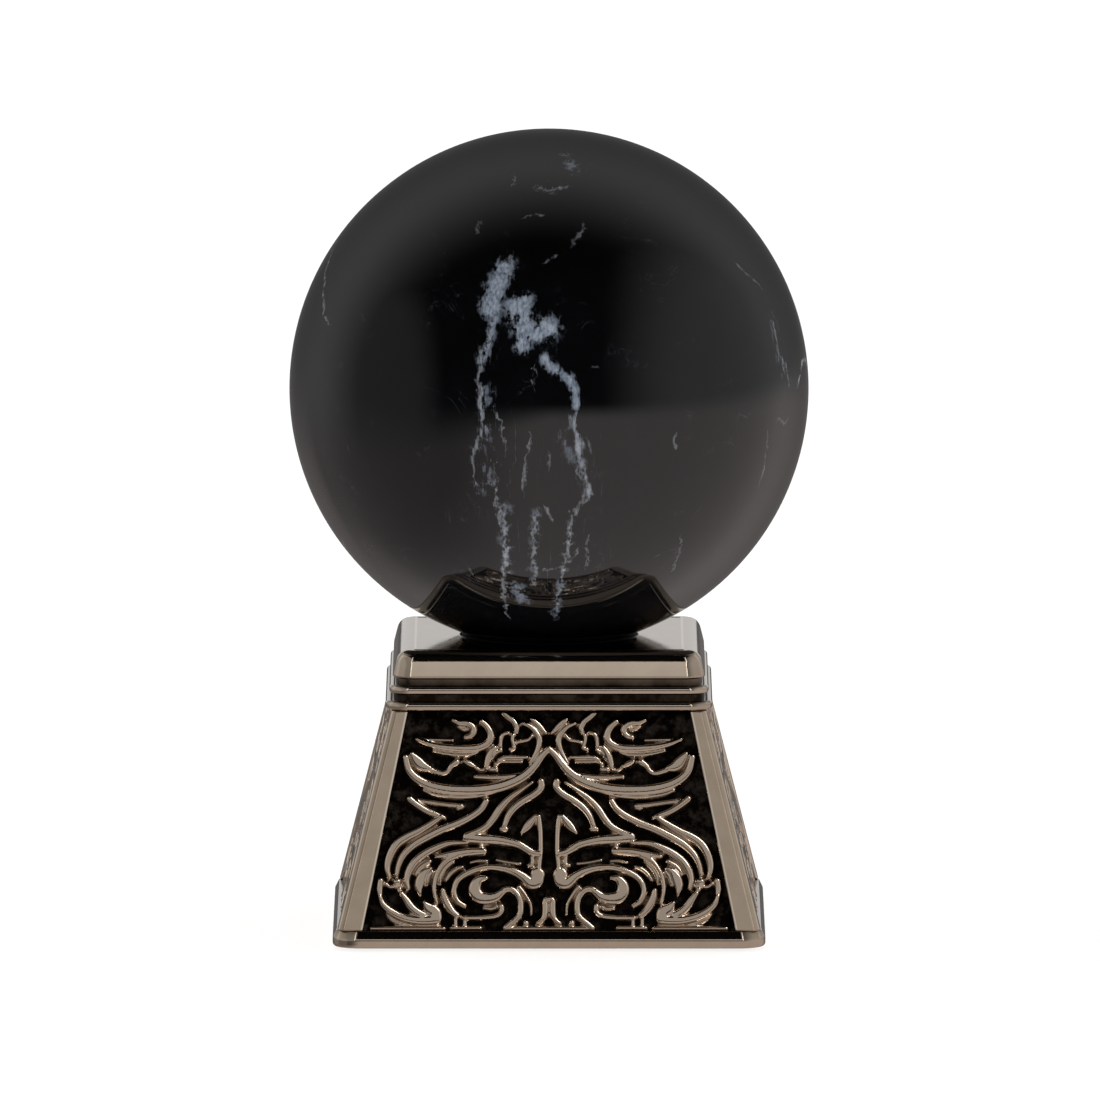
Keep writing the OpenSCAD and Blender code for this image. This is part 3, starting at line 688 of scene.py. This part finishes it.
def vein_field(veins):
    """For each point of the ball: signed distance to the nearest vein in mm, its half width and its
    brightness. The side of a vein is the sign of (point x along) . middle; the width swells in the middle
    of a vein and fades to nothing at its ends and 3 mm away from it."""
    field = np.zeros((len(ball_out), 3))
    field[:, 0] = 9.0
    for half, bright, points in veins:
        line = smooth_path(toward(points), 0.006)
        line /= np.linalg.norm(line, axis=1, keepdims=True)
        along = np.gradient(line, axis=0)
        share = np.linspace(0, 1, len(line))
        width = half * np.clip(np.minimum(share, 1 - share) * 6, 0, 1)
        middle = line.mean(axis=0)
        reach = np.linalg.norm(line - middle, axis=1).max() + 0.08
        near = np.flatnonzero(np.linalg.norm(ball_out - middle, axis=1) < reach)
        apart = 2 - 2 * ball_out[near] @ line.T
        nearest = apart.argmin(axis=1)
        d = np.sqrt(np.maximum(apart[np.arange(len(near)), nearest], 0)) * BALL_R
        side = np.einsum("ij,ij->i", np.cross(ball_out[near], along[nearest]), line[nearest])
        better = (d < abs(field[near, 0])) & (d < 3)
        chosen = near[better]
        field[chosen, 0] = np.where(side[better] < 0, -1, 1) * d[better]
        field[chosen, 1] = width[nearest[better]] * np.clip(3 - d[better], 0, 1)
        field[chosen, 2] = bright
    return field


behind = []
WALKS = [
    ((165, 55), -1.4, 24), ((200, 30), -1.8, 18), ((120, 20), -1.2, 14), ((240, -5), -1.5, 12),
    ((178, -10), -0.9, 12), ((100, -20), -1.6, 8), ((262, 40), -0.4, 10), ((-70, -30), -1.9, 7),
]
for start, heading, steps in WALKS:
    path = wander(start, heading, steps)
    behind.append((rng.uniform(0.25, 0.45), rng.uniform(0.5, 1.0), path))
clouds_behind = [(rng.uniform(1.0, 1.8), bright * 0.8, path[2:9]) for half, bright, path in behind[:6]]
for letter, strands, first in (("a", STRANDS_A, 0), ("b", STRANDS_B, 1), ("c", STRANDS_C, 2)):
    field = vein_field(strands + behind[first::3])
    attach(ball, "vein_" + letter, field)
    print("vein group", letter, "reaches", int((field[:, 1] > 0).sum()), "points")

cloud = np.zeros(len(ball_out))
for wide, bright, points in CLOUDS + clouds_behind:
    line = smooth_path(toward(points), 0.01)
    line /= np.linalg.norm(line, axis=1, keepdims=True)
    d = np.sqrt(np.maximum((2 - 2 * ball_out @ line.T).min(axis=1), 0)) * BALL_R
    cloud = np.maximum(cloud, bright * np.exp(-((d / wide) ** 2)))
attach(ball, "cloud", cloud)

# %% [markdown]
# ## Tools for materials
# Colours are written as they look on a screen, as hex values, and turned to the linear values that Blender
# mixes. One function adds a node and sets or links its inputs. Five short ones stand on it for what every
# material takes: noise, a value carried to a new range, arithmetic, a blend of two colours and the surface.

# %% Colour and node helpers
def linear(hex_colour, strength=1.0):
    """A hex colour as linear red, green and blue: c/12.92 up to 0.04045, else ((c + 0.055)/1.055)^2.4."""
    c = np.array([int(hex_colour[k:k + 2], 16) for k in (1, 3, 5)]) / 255
    c = np.where(c <= 0.04045, c / 12.92, ((c + 0.055) / 1.055) ** 2.4) * strength
    return (*map(float, c), 1.0)


def add(tree, kind, inputs=None, **settings):
    """Adds a node. inputs gives, by name or number, either a plain value or the output that feeds that
    input."""
    node = tree.nodes.new("ShaderNode" + kind)
    for key, value in settings.items():
        setattr(node, key, value)
    for key, value in (inputs or {}).items():
        if isinstance(value, bpy.types.NodeSocket):
            tree.links.new(value, node.inputs[key])
        else:
            node.inputs[key].default_value = value
    return node


def noise(tree, place, scale, detail=2.0, roughness=0.5, distortion=0.0):
    """Fractal noise at a place, with about scale cells to the metre."""
    node = add(tree, "TexNoise", {"Vector": place, "Scale": scale, "Detail": detail})
    node.inputs["Roughness"].default_value = roughness
    node.inputs["Distortion"].default_value = distortion
    return node.outputs[0]


def remap(tree, value, low, high, to_low, to_high, smooth=False, clamp=True):
    """The value carried from the range low..high to to_low..to_high, in a straight line or a smooth
    step."""
    curve = "SMOOTHSTEP" if smooth else "LINEAR"
    inputs = {0: value, 1: low, 2: high, 3: to_low, 4: to_high}
    return add(tree, "MapRange", inputs, clamp=clamp, interpolation_type=curve).outputs[0]


def calc(tree, operation, first, second=0.5, clamp=False):
    """One step of arithmetic on one or two values."""
    return add(tree, "Math", {0: first, 1: second}, operation=operation, use_clamp=clamp).outputs[0]


def blend(tree, share, first, second):
    """The colour (1 - share) first + share second."""
    return add(tree, "Mix", {0: share, 6: first, 7: second}, data_type="RGBA").outputs[2]


def finish(tree, inputs):
    """Ends a material: the surface shader with its inputs, and the output it feeds."""
    shader = add(tree, "BsdfPrincipled", inputs)
    add(tree, "OutputMaterial", {"Surface": shader.outputs[0]})


def new_material(name):
    """An empty material and its node tree."""
    material = bpy.data.materials.new(name)
    material.use_nodes = True
    material.node_tree.nodes.clear()
    return material, material.node_tree


def dress(piece, material, body):
    """Gives a new piece its material and slot, and lets it ride on its body."""
    piece.data.materials.append(material)
    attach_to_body(piece, body)

# %% [markdown]
# ## Polished black stone
# Black limestone or serpentine with quartz veins, ground and polished. The body is nearly black and the
# polish gives a clear, sharp reflection; stone has an index of refraction near 1.54. The veins are a shade
# rougher where the quartz is pitted. Noise moves each vein line sideways by up to half a millimetre, at 2 mm
# and at 0.4 mm, so that it frays as a real crack does. The veins and the milky clouds are drawn fainter below
# the middle of the ball.

# %% Stone
stone, tree = new_material("polished black stone with quartz veins")
place = add(tree, "TexCoord").outputs["Object"]
drawn = add(tree, "Mapping", {"Vector": place, "Scale": (1, 1, 0.28)}).outputs[0]
wide_noise = noise(tree, place, 420, detail=5.0, roughness=0.62)
fine_noise = noise(tree, drawn, 1900, detail=2.0, roughness=0.6)
speck_noise = noise(tree, drawn, 1100, detail=4.0, roughness=0.7)
big_noise = noise(tree, place, 160, detail=2.0, roughness=0.5)
shift_wide = remap(tree, wide_noise, 0.25, 0.75, -0.8, 0.8, clamp=False)
shift = remap(tree, fine_noise, 0.25, 0.75, -0.3, 0.3, clamp=False)
shift = calc(tree, "ADD", shift_wide, shift)
swell = remap(tree, speck_noise, 0.34, 0.66, 0.3, 2.4)
fade = remap(tree, speck_noise, 0.38, 0.64, 0.08, 0.85)
veins = None
for letter in "abc":
    stored = add(tree, "Attribute", attribute_name="vein_" + letter)
    parts = add(tree, "SeparateXYZ", {0: stored.outputs["Vector"]})
    moved = calc(tree, "ADD", parts.outputs["X"], shift)
    away = calc(tree, "ABSOLUTE", moved)
    width = calc(tree, "MULTIPLY", parts.outputs["Y"], swell)
    width = calc(tree, "ADD", width, 0.0001)
    ratio = calc(tree, "DIVIDE", away, width)
    line = remap(tree, ratio, 0.1, 1.1, 1.0, 0.0, smooth=True)
    line = calc(tree, "MULTIPLY", line, parts.outputs["Z"])
    if veins is None:
        veins = line
    else:
        veins = calc(tree, "MAXIMUM", veins, line)
veins = calc(tree, "MULTIPLY", veins, fade)
up = add(tree, "SeparateXYZ", {0: place}).outputs["Z"]
lift = remap(tree, up, 0.094, 0.107, 0.58, 1.0, smooth=True)
veins = calc(tree, "MULTIPLY", veins, lift)
cloud_at = add(tree, "Attribute", attribute_name="cloud").outputs["Fac"]
grain_fine = remap(tree, fine_noise, 0.32, 0.66, 0.0, 1.0)
ragged = remap(tree, wide_noise, 0.3, 0.7, -0.45, 0.45, clamp=False)
grain = remap(tree, speck_noise, 0.3, 0.7, -0.5, 0.5, clamp=False)
clouds = calc(tree, "ADD", cloud_at, ragged)
clouds = calc(tree, "ADD", clouds, grain)
clouds = remap(tree, clouds, 0.3, 0.78, 0.0, 1.0, smooth=True)
here = remap(tree, cloud_at, 0.1, 0.9, 0.0, 0.95)
clouds = calc(tree, "MULTIPLY", clouds, here)
clouds = calc(tree, "MULTIPLY", clouds, lift)
hair = noise(tree, place, 90, detail=7.0, roughness=0.62, distortion=1.2)
hair_line = calc(tree, "SUBTRACT", hair, 0.5)
hair_line = calc(tree, "ABSOLUTE", hair_line)
hair_line = remap(tree, hair_line, 0.0, 0.004, 0.16, 0.0)
where_hair = remap(tree, big_noise, 0.56, 0.68, 0.0, 1.0)
hair_line = calc(tree, "MULTIPLY", hair_line, where_hair)
body = blend(tree, big_noise, linear("#030304"), linear("#0a0b0d"))
body = blend(tree, hair_line, body, linear("#8d97a4"))
quartz = blend(tree, grain_fine, linear("#6f7c8e"), linear("#b9c4d3"))
body = blend(tree, clouds, body, quartz)
body = blend(tree, veins, body, linear("#b4b9c1"))
rough = remap(tree, veins, 0.0, 1.0, 0.05, 0.16)
finish(tree, {"Base Color": body, "Roughness": rough, "IOR": 1.54})
dress(ball, stone, "stone_ball")
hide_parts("ball")
print(stone.name, len(tree.nodes), "nodes")

# %% [markdown]
# ## Polished dark bronze
# The stand is cast bronze with a dark nickel wash, ground flat and buffed. Buffing leaves a clear but soft
# reflection. The colour is lighter on every crest, as rubbed wear and a painted highlight, and darker in the
# grooves, as patina and painted shade. The casting shows as faint clouds in the polish, a few millimetres
# wide, and as fine buffing marks that are drawn coarser than they are.

# %% Bronze
def bronze(name, light, dark, low_rough, high_rough):
    """Polished bronze whose colour darkens where the stored crest value is under a half, as patina and
    painted shade, and lightens above a half, as rubbed wear and a painted highlight.
    """
    material, tree = new_material(name)
    place = add(tree, "TexCoord").outputs["Object"]
    crest = add(tree, "Attribute", attribute_name="crest").outputs["Fac"]
    clouds = noise(tree, place, 260, detail=4.0, roughness=0.6)
    marks = noise(tree, place, 1500, detail=3.0, roughness=0.7)
    mottle = remap(tree, clouds, 0.3, 0.7, 0.0, 0.12)
    # Painted shade with patina: grooves and recesses are darkened toward the dark bronze.
    groove = remap(tree, crest, 0.1, 0.46, 0.92, 0.0)
    mottle_and_groove_shade = calc(tree, "ADD", mottle, groove, clamp=True)
    colour = blend(tree, mottle_and_groove_shade, linear(light), linear(dark))
    # Painted highlight with rubbed wear: crests are lightened toward a pale bronze.
    rubbed_wear_and_highlight = remap(tree, crest, 0.5, 1.0, 0.0, 0.7)
    colour = blend(tree, rubbed_wear_and_highlight, colour, linear("#d8cbbd"))
    rough = remap(tree, marks, 0.3, 0.7, low_rough, high_rough)
    bump = add(tree, "Bump", {"Strength": 0.12, "Distance": 0.00004, "Height": marks}).outputs[0]
    finish(tree, {"Base Color": colour, "Metallic": 1.0, "Roughness": rough, "Normal": bump})
    print(name, len(tree.nodes), "nodes")
    return material


polished_bronze = bronze("dark bronze, cast and buffed", "#a89886", "#17110d", 0.05, 0.11)
dress(cap, polished_bronze, "stand")
dress(collar, polished_bronze, "stand")
dress(plinth, polished_bronze, "stand")
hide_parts("cap_plate")
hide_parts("collar")
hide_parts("plinth")
for node, bar in posts.items():
    dress(bar, polished_bronze, "stand")
    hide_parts(node)

# %% [markdown]
# ## Patinated relief
# The panels are the same metal, but the ground between the scrolls was never polished: it keeps a nearly
# black brown patina and a matt grain of about a third of a millimetre. The scrolls were rubbed back, so their
# tops shine and their sides shade into the patina. Close beside the scrolls the ground is darkened further to
# near black as painted shade.

# %% Relief material
relief_bronze, tree = new_material("patinated bronze relief, rubbed back")
place = add(tree, "TexCoord").outputs["Object"]
height = add(tree, "Attribute", attribute_name="relief").outputs["Fac"]
hollow_shade_at = add(tree, "Attribute", attribute_name="hollow_shade").outputs["Fac"]
clouds = noise(tree, place, 420, detail=4.0, roughness=0.65)
grain = noise(tree, place, 2600, detail=3.0, roughness=0.7)
uneven = remap(tree, clouds, 0.3, 0.7, -0.08, 0.08, clamp=False)
spots = remap(tree, clouds, 0.46, 0.68, 0.0, 1.0)
rubbed = calc(tree, "ADD", height, uneven)
rubbed = remap(tree, rubbed, 0.08, 0.42, 0.0, 1.0, smooth=True)
patina = blend(tree, spots, linear("#080504"), linear("#302a25"))
# Painted shade: the hollows beside the scrolls are darkened to near black.
patina = blend(tree, hollow_shade_at, patina, linear("#070504"))
colour = blend(tree, rubbed, patina, linear("#b3a392"))
rough = remap(tree, rubbed, 0.0, 1.0, 0.42, 0.1)
bump_size = remap(tree, rubbed, 0.0, 1.0, 0.5, 0.12)
bump = add(tree, "Bump", {"Strength": bump_size, "Distance": 0.00012, "Height": grain}).outputs[0]
finish(tree, {"Base Color": colour, "Metallic": 1.0, "Roughness": rough, "Normal": bump})
for node, casting in panels.items():
    dress(casting, relief_bronze, "stand")
    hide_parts(node)
print(relief_bronze.name, len(tree.nodes), "nodes")

# %% [markdown]
# ## Rubber, felt and steel
# The parts that hardly show are finished too. The ring is moulded rubber, matt black with a fine grain. The
# pad is pressed wool felt: short fibres in all directions, with a soft sheen. The screw, washer and nut are
# zinc plated, the tube is drawn steel with marks along its length and the bottom plate is rolled steel with
# a blue black scale.

# %% Rubber and felt
rubber, tree = new_material("black rubber, moulded")
place = add(tree, "TexCoord").outputs["Object"]
grain = noise(tree, place, 1800, detail=3.0)
colour = blend(tree, grain, linear("#131212"), linear("#262423"))
bump = add(tree, "Bump", {"Strength": 0.3, "Distance": 0.00005, "Height": grain}).outputs[0]
finish(tree, {"Base Color": colour, "Roughness": 0.62, "Normal": bump})
dress(soft_ring, rubber, "cushion")
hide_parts("seat_ring")

wool, tree = new_material("dark wool felt, pressed")
place = add(tree, "TexCoord").outputs["Object"]
fibres = noise(tree, place, 1500, detail=5.0, roughness=0.75, distortion=2.5)
patches = noise(tree, place, 160, detail=3.0)
colour = blend(tree, fibres, linear("#151312"), linear("#3a3633"))
colour = blend(tree, patches, colour, linear("#1f1c1a"))
bump = add(tree, "Bump", {"Strength": 0.7, "Distance": 0.00015, "Height": fibres}).outputs[0]
finish(tree, {"Base Color": colour, "Roughness": 0.95,
              "Sheen Weight": 0.35, "Sheen Roughness": 0.5, "Normal": bump})
dress(felt, wool, "stand")
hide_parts("felt_pad")

# %% Steel
def steel(name, light, dark, stretch, low_rough, high_rough):
    """Steel with marks drawn out along the height by stretch, the ratio of their length to their width."""
    material, tree = new_material(name)
    place = add(tree, "TexCoord").outputs["Object"]
    drawn = add(tree, "Mapping", {"Vector": place, "Scale": (1, 1, 1 / stretch)}).outputs[0]
    marks = noise(tree, drawn, 900, detail=4.0, roughness=0.65)
    spots = noise(tree, place, 220, detail=3.0)
    colour = blend(tree, spots, linear(light), linear(dark))
    rough = remap(tree, marks, 0.3, 0.7, low_rough, high_rough)
    bump = add(tree, "Bump", {"Strength": 0.25, "Distance": 0.00005, "Height": marks}).outputs[0]
    finish(tree, {"Base Color": colour, "Metallic": 1.0, "Roughness": rough, "Normal": bump})
    return material


zinc = steel("zinc plated steel, turned", "#c9cacd", "#8f9197", 1, 0.22, 0.42)
drawn_steel = steel("steel tube, drawn", "#9a9b9e", "#6b6c70", 30, 0.25, 0.45)
rolled_steel = steel("steel plate, rolled", "#55585e", "#2e3035", 1, 0.35, 0.6)
finishes = {"tie_bolt": zinc, "tie_washer": zinc, "tie_nut": zinc, "spacer_tube": drawn_steel,
            "bottom_plate": rolled_steel}
for node, material in finishes.items():
    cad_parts[node].data.materials.clear()
    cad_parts[node].data.materials.append(material)
print("steel finishes on", sorted(finishes))

# %% [markdown]
# ## Floor
# A plain pale table top. It is matt and almost even, with a faint mottle. Polished pieces don't see it:
# they see the room, which has the table top in it.

# %% Make the floor
floor_mesh = bpy.data.meshes.new("floor")
floor_mesh.from_pydata([(-9, -1.95, 0), (9, -1.95, 0), (9, 14, 0), (-9, 14, 0)], [], [(0, 1, 2, 3)])
floor = bpy.data.objects.new("floor", floor_mesh)
bpy.context.scene.collection.objects.link(floor)
paper, tree = new_material("pale table top, matt")
place = add(tree, "TexCoord").outputs["Object"]
mottle = noise(tree, place, 3, detail=2.0)
colour = blend(tree, mottle, linear("#f2f2f2"), linear("#f6f6f6"))
finish(tree, {"Base Color": colour, "Roughness": 0.9, "Specular IOR Level": 0.1})
floor_mesh.materials.append(paper)
floor.visible_glossy = False
floor.visible_shadow = False
print("floor", [round(x, 2) for x in floor.dimensions])

# %% [markdown]
# ## Room light
# The world stands for a studio, worked out from the direction alone. Above the table it is dark in front,
# where the camera is, and softly lit from the back and both sides; it falls off again toward the dark wall
# straight behind, so that the ball has no bright rim. Below the table's edge it stands for the lit table
# top, which polished pieces see instead of the floor mesh. What the camera sees past the floor is a plain
# pale wall.

# %% Make the world
world = bpy.data.worlds.new("studio room")
bpy.context.scene.world = world
world.use_nodes = True
tree = world.node_tree
tree.nodes.clear()
direction = add(tree, "SeparateXYZ", {0: add(tree, "TexCoord").outputs["Generated"]})
behind_light = remap(tree, direction.outputs["Y"], -0.3, 0.45, 0.0, 1.0, smooth=True)
left_light = remap(tree, direction.outputs["X"], -0.72, -0.9, 0.0, 0.5, smooth=True)
right_light = remap(tree, direction.outputs["X"], 0.35, 0.92, 0.0, 1.0, smooth=True)
both = calc(tree, "MAXIMUM", behind_light, left_light)
both = calc(tree, "MAXIMUM", both, right_light)
upper = remap(tree, direction.outputs["Y"], 0.45, 1.0, 0.42, 0.1, smooth=True)
to_left = remap(tree, direction.outputs["X"], -0.1, -0.7, 1.0, 0.45, smooth=True)
low_behind = remap(tree, direction.outputs["Y"], 0.45, 0.95, 0.0, 1.0, smooth=True)
front_light = calc(tree, "MAXIMUM", to_left, low_behind)
upper = calc(tree, "MULTIPLY", both, upper)
upper = calc(tree, "ADD", upper, 0.004)
lower = remap(tree, direction.outputs["Y"], 0.5, 1.0, 0.74, 0.16, smooth=True)
depth = remap(tree, direction.outputs["X"], 0.0, -1.0, 0.15, 0.5)
lower = calc(tree, "MULTIPLY", lower, front_light)
below = calc(tree, "MULTIPLY", direction.outputs["Z"], -1.0)
edge = remap(tree, below, 0.0, depth, 0.0, 1.0, smooth=True)
room = add(tree, "Mix", {0: edge, 2: upper, 3: lower}, data_type="FLOAT").outputs[0]
seen = add(tree, "LightPath").outputs["Is Camera Ray"]
strength = add(tree, "Mix", {0: seen, 2: room, 3: 0.97}, data_type="FLOAT").outputs[0]
warm = blend(tree, edge, (1, 0.99, 0.98, 1), (1, 0.91, 0.88, 1))
tint = blend(tree, seen, warm, (1, 1, 1, 1))
background = add(tree, "Background", {"Color": tint, "Strength": strength})
add(tree, "OutputWorld", {"Surface": background.outputs[0]})
print("world", len(tree.nodes), "nodes")

# %% [markdown]
# ## Lamps
# A polished ball shows every lamp as a mark, so the lamps are aimed at one thing each: the stand's lamps
# light only the stand, and the ball's own fill is not seen in its polish. A soft panel in front gives the
# flat faces their even tone, side panels fill the round corners, upright strips draw the lines along the
# edges of the mouldings and a low panel behind is what the flat top of the cap reflects. The relief has a
# ring of four high panels, so that its round scrolls shade without gaps, and one bright window for the
# sparks on its tips. The brightness that a lamp shows is its power over pi and its area.

# %% Make the lamps
def lit_group(name, pieces):
    """A collection of the pieces that one set of lamps lights."""
    group = bpy.data.collections.new(name)
    for piece in pieces:
        group.objects.link(piece)
    return group


inner_pieces = [felt, soft_ring, *(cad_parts[node] for node in finishes)]
moulded_pieces = lit_group("mouldings", [cap, collar, plinth, *inner_pieces])
post_pieces = lit_group("posts", list(posts.values()))
flat_pieces = lit_group("mouldings and posts", [cap, collar, plinth, *inner_pieces, *posts.values()])
relief_pieces = lit_group("relief", list(panels.values()))
ball_only = lit_group("ball only", [ball])
floor_only = lit_group("floor only", [floor])


def panel_lamp(name, azimuth, elevation, width, height, brightness, receivers, distance=1.6, shows=True):
    """A rectangular lamp that looks at the stand from azimuth and elevation, 1.6 m away if not said
    otherwise."""
    lamp = bpy.data.lights.new(name, "AREA")
    lamp.shape = "RECTANGLE"
    lamp.size = width
    lamp.size_y = height
    lamp.energy = brightness * math.pi * width * height
    holder = bpy.data.objects.new(name, lamp)
    a, e = math.radians(azimuth), math.radians(elevation)
    out = Vector((math.sin(a) * math.cos(e), -math.cos(a) * math.cos(e), math.sin(e)))
    holder.location = Vector((0, 0, 0.035)) + out * distance
    holder.rotation_mode = "QUATERNION"
    holder.rotation_quaternion = out.to_track_quat("Z", "Y")
    holder.light_linking.receiver_collection = receivers
    holder.visible_glossy = shows
    bpy.context.scene.collection.objects.link(holder)
    return holder


panel_lamp("front panel", 0, 20, 1.3, 0.58, 0.88, moulded_pieces)
panel_lamp("left strip", -24, 30, 0.08, 1.7, 2.2, moulded_pieces)
panel_lamp("right strip", 24, 30, 0.08, 1.7, 2.8, moulded_pieces)
panel_lamp("posts' front panel", 0, 20, 3.0, 0.8, 0.72, post_pieces)
panel_lamp("left side panel", -70, 24, 3.2, 2.0, 0.42, moulded_pieces)
panel_lamp("right side panel", 70, 24, 3.2, 2.0, 0.2, moulded_pieces)
panel_lamp("posts' left panel", -90, 20, 3.2, 1.2, 0.4, post_pieces)
panel_lamp("posts' right panel", 90, 20, 3.2, 1.2, 0.36, post_pieces)
panel_lamp("left back panel", -140, 20, 1.6, 1.2, 0.3, flat_pieces)
panel_lamp("right back panel", 140, 20, 1.6, 1.2, 0.3, flat_pieces)
panel_lamp("back panel", 180, 9, 1.6, 0.4, 0.6, flat_pieces)
for turn, bright in ((0, 0.6), (-90, 0.55), (90, 0.5), (180, 0.45)):
    panel_lamp("relief panel", turn, 27, 3.2, 1.3, bright, relief_pieces)
panel_lamp("window", 48, 50, 0.5, 0.8, 9.0, relief_pieces)
panel_lamp("ball fill", 0, 35, 1.4, 1.0, 1.6, ball_only, distance=1.8, shows=False)
sun = bpy.data.lights.new("floor light", "SUN")
sun.energy = 3.3
sun.angle = math.radians(70)
sun.use_shadow = False
sun_holder = bpy.data.objects.new("floor light", sun)
sun_holder.rotation_euler = (math.radians(12), math.radians(-8), 0)
sun_holder.light_linking.receiver_collection = floor_only
bpy.context.scene.collection.objects.link(sun_holder)

# %% [markdown]
# ## Camera
# A long lens from 6 m away, 7 degrees above the table, so the stand hardly narrows with distance.

# %% Make the camera
lens = bpy.data.cameras.new("camera")
lens.sensor_width = 36
lens.lens = 1019
lens.clip_start = 0.5
lens.clip_end = 60
camera = bpy.data.objects.new("camera", lens)
aim = Vector((0.00019, 0, 0.07259))
rise = math.radians(6.9)
back_to_camera = Vector((0, -math.cos(rise), math.sin(rise)))
camera.location = aim + back_to_camera * 6
camera.rotation_mode = "QUATERNION"
camera.rotation_quaternion = back_to_camera.to_track_quat("Z", "Y")
bpy.context.scene.collection.objects.link(camera)
bpy.context.scene.camera = camera
bpy.context.scene.view_settings.view_transform = "Standard"
print("camera", [round(x, 3) for x in camera.location])
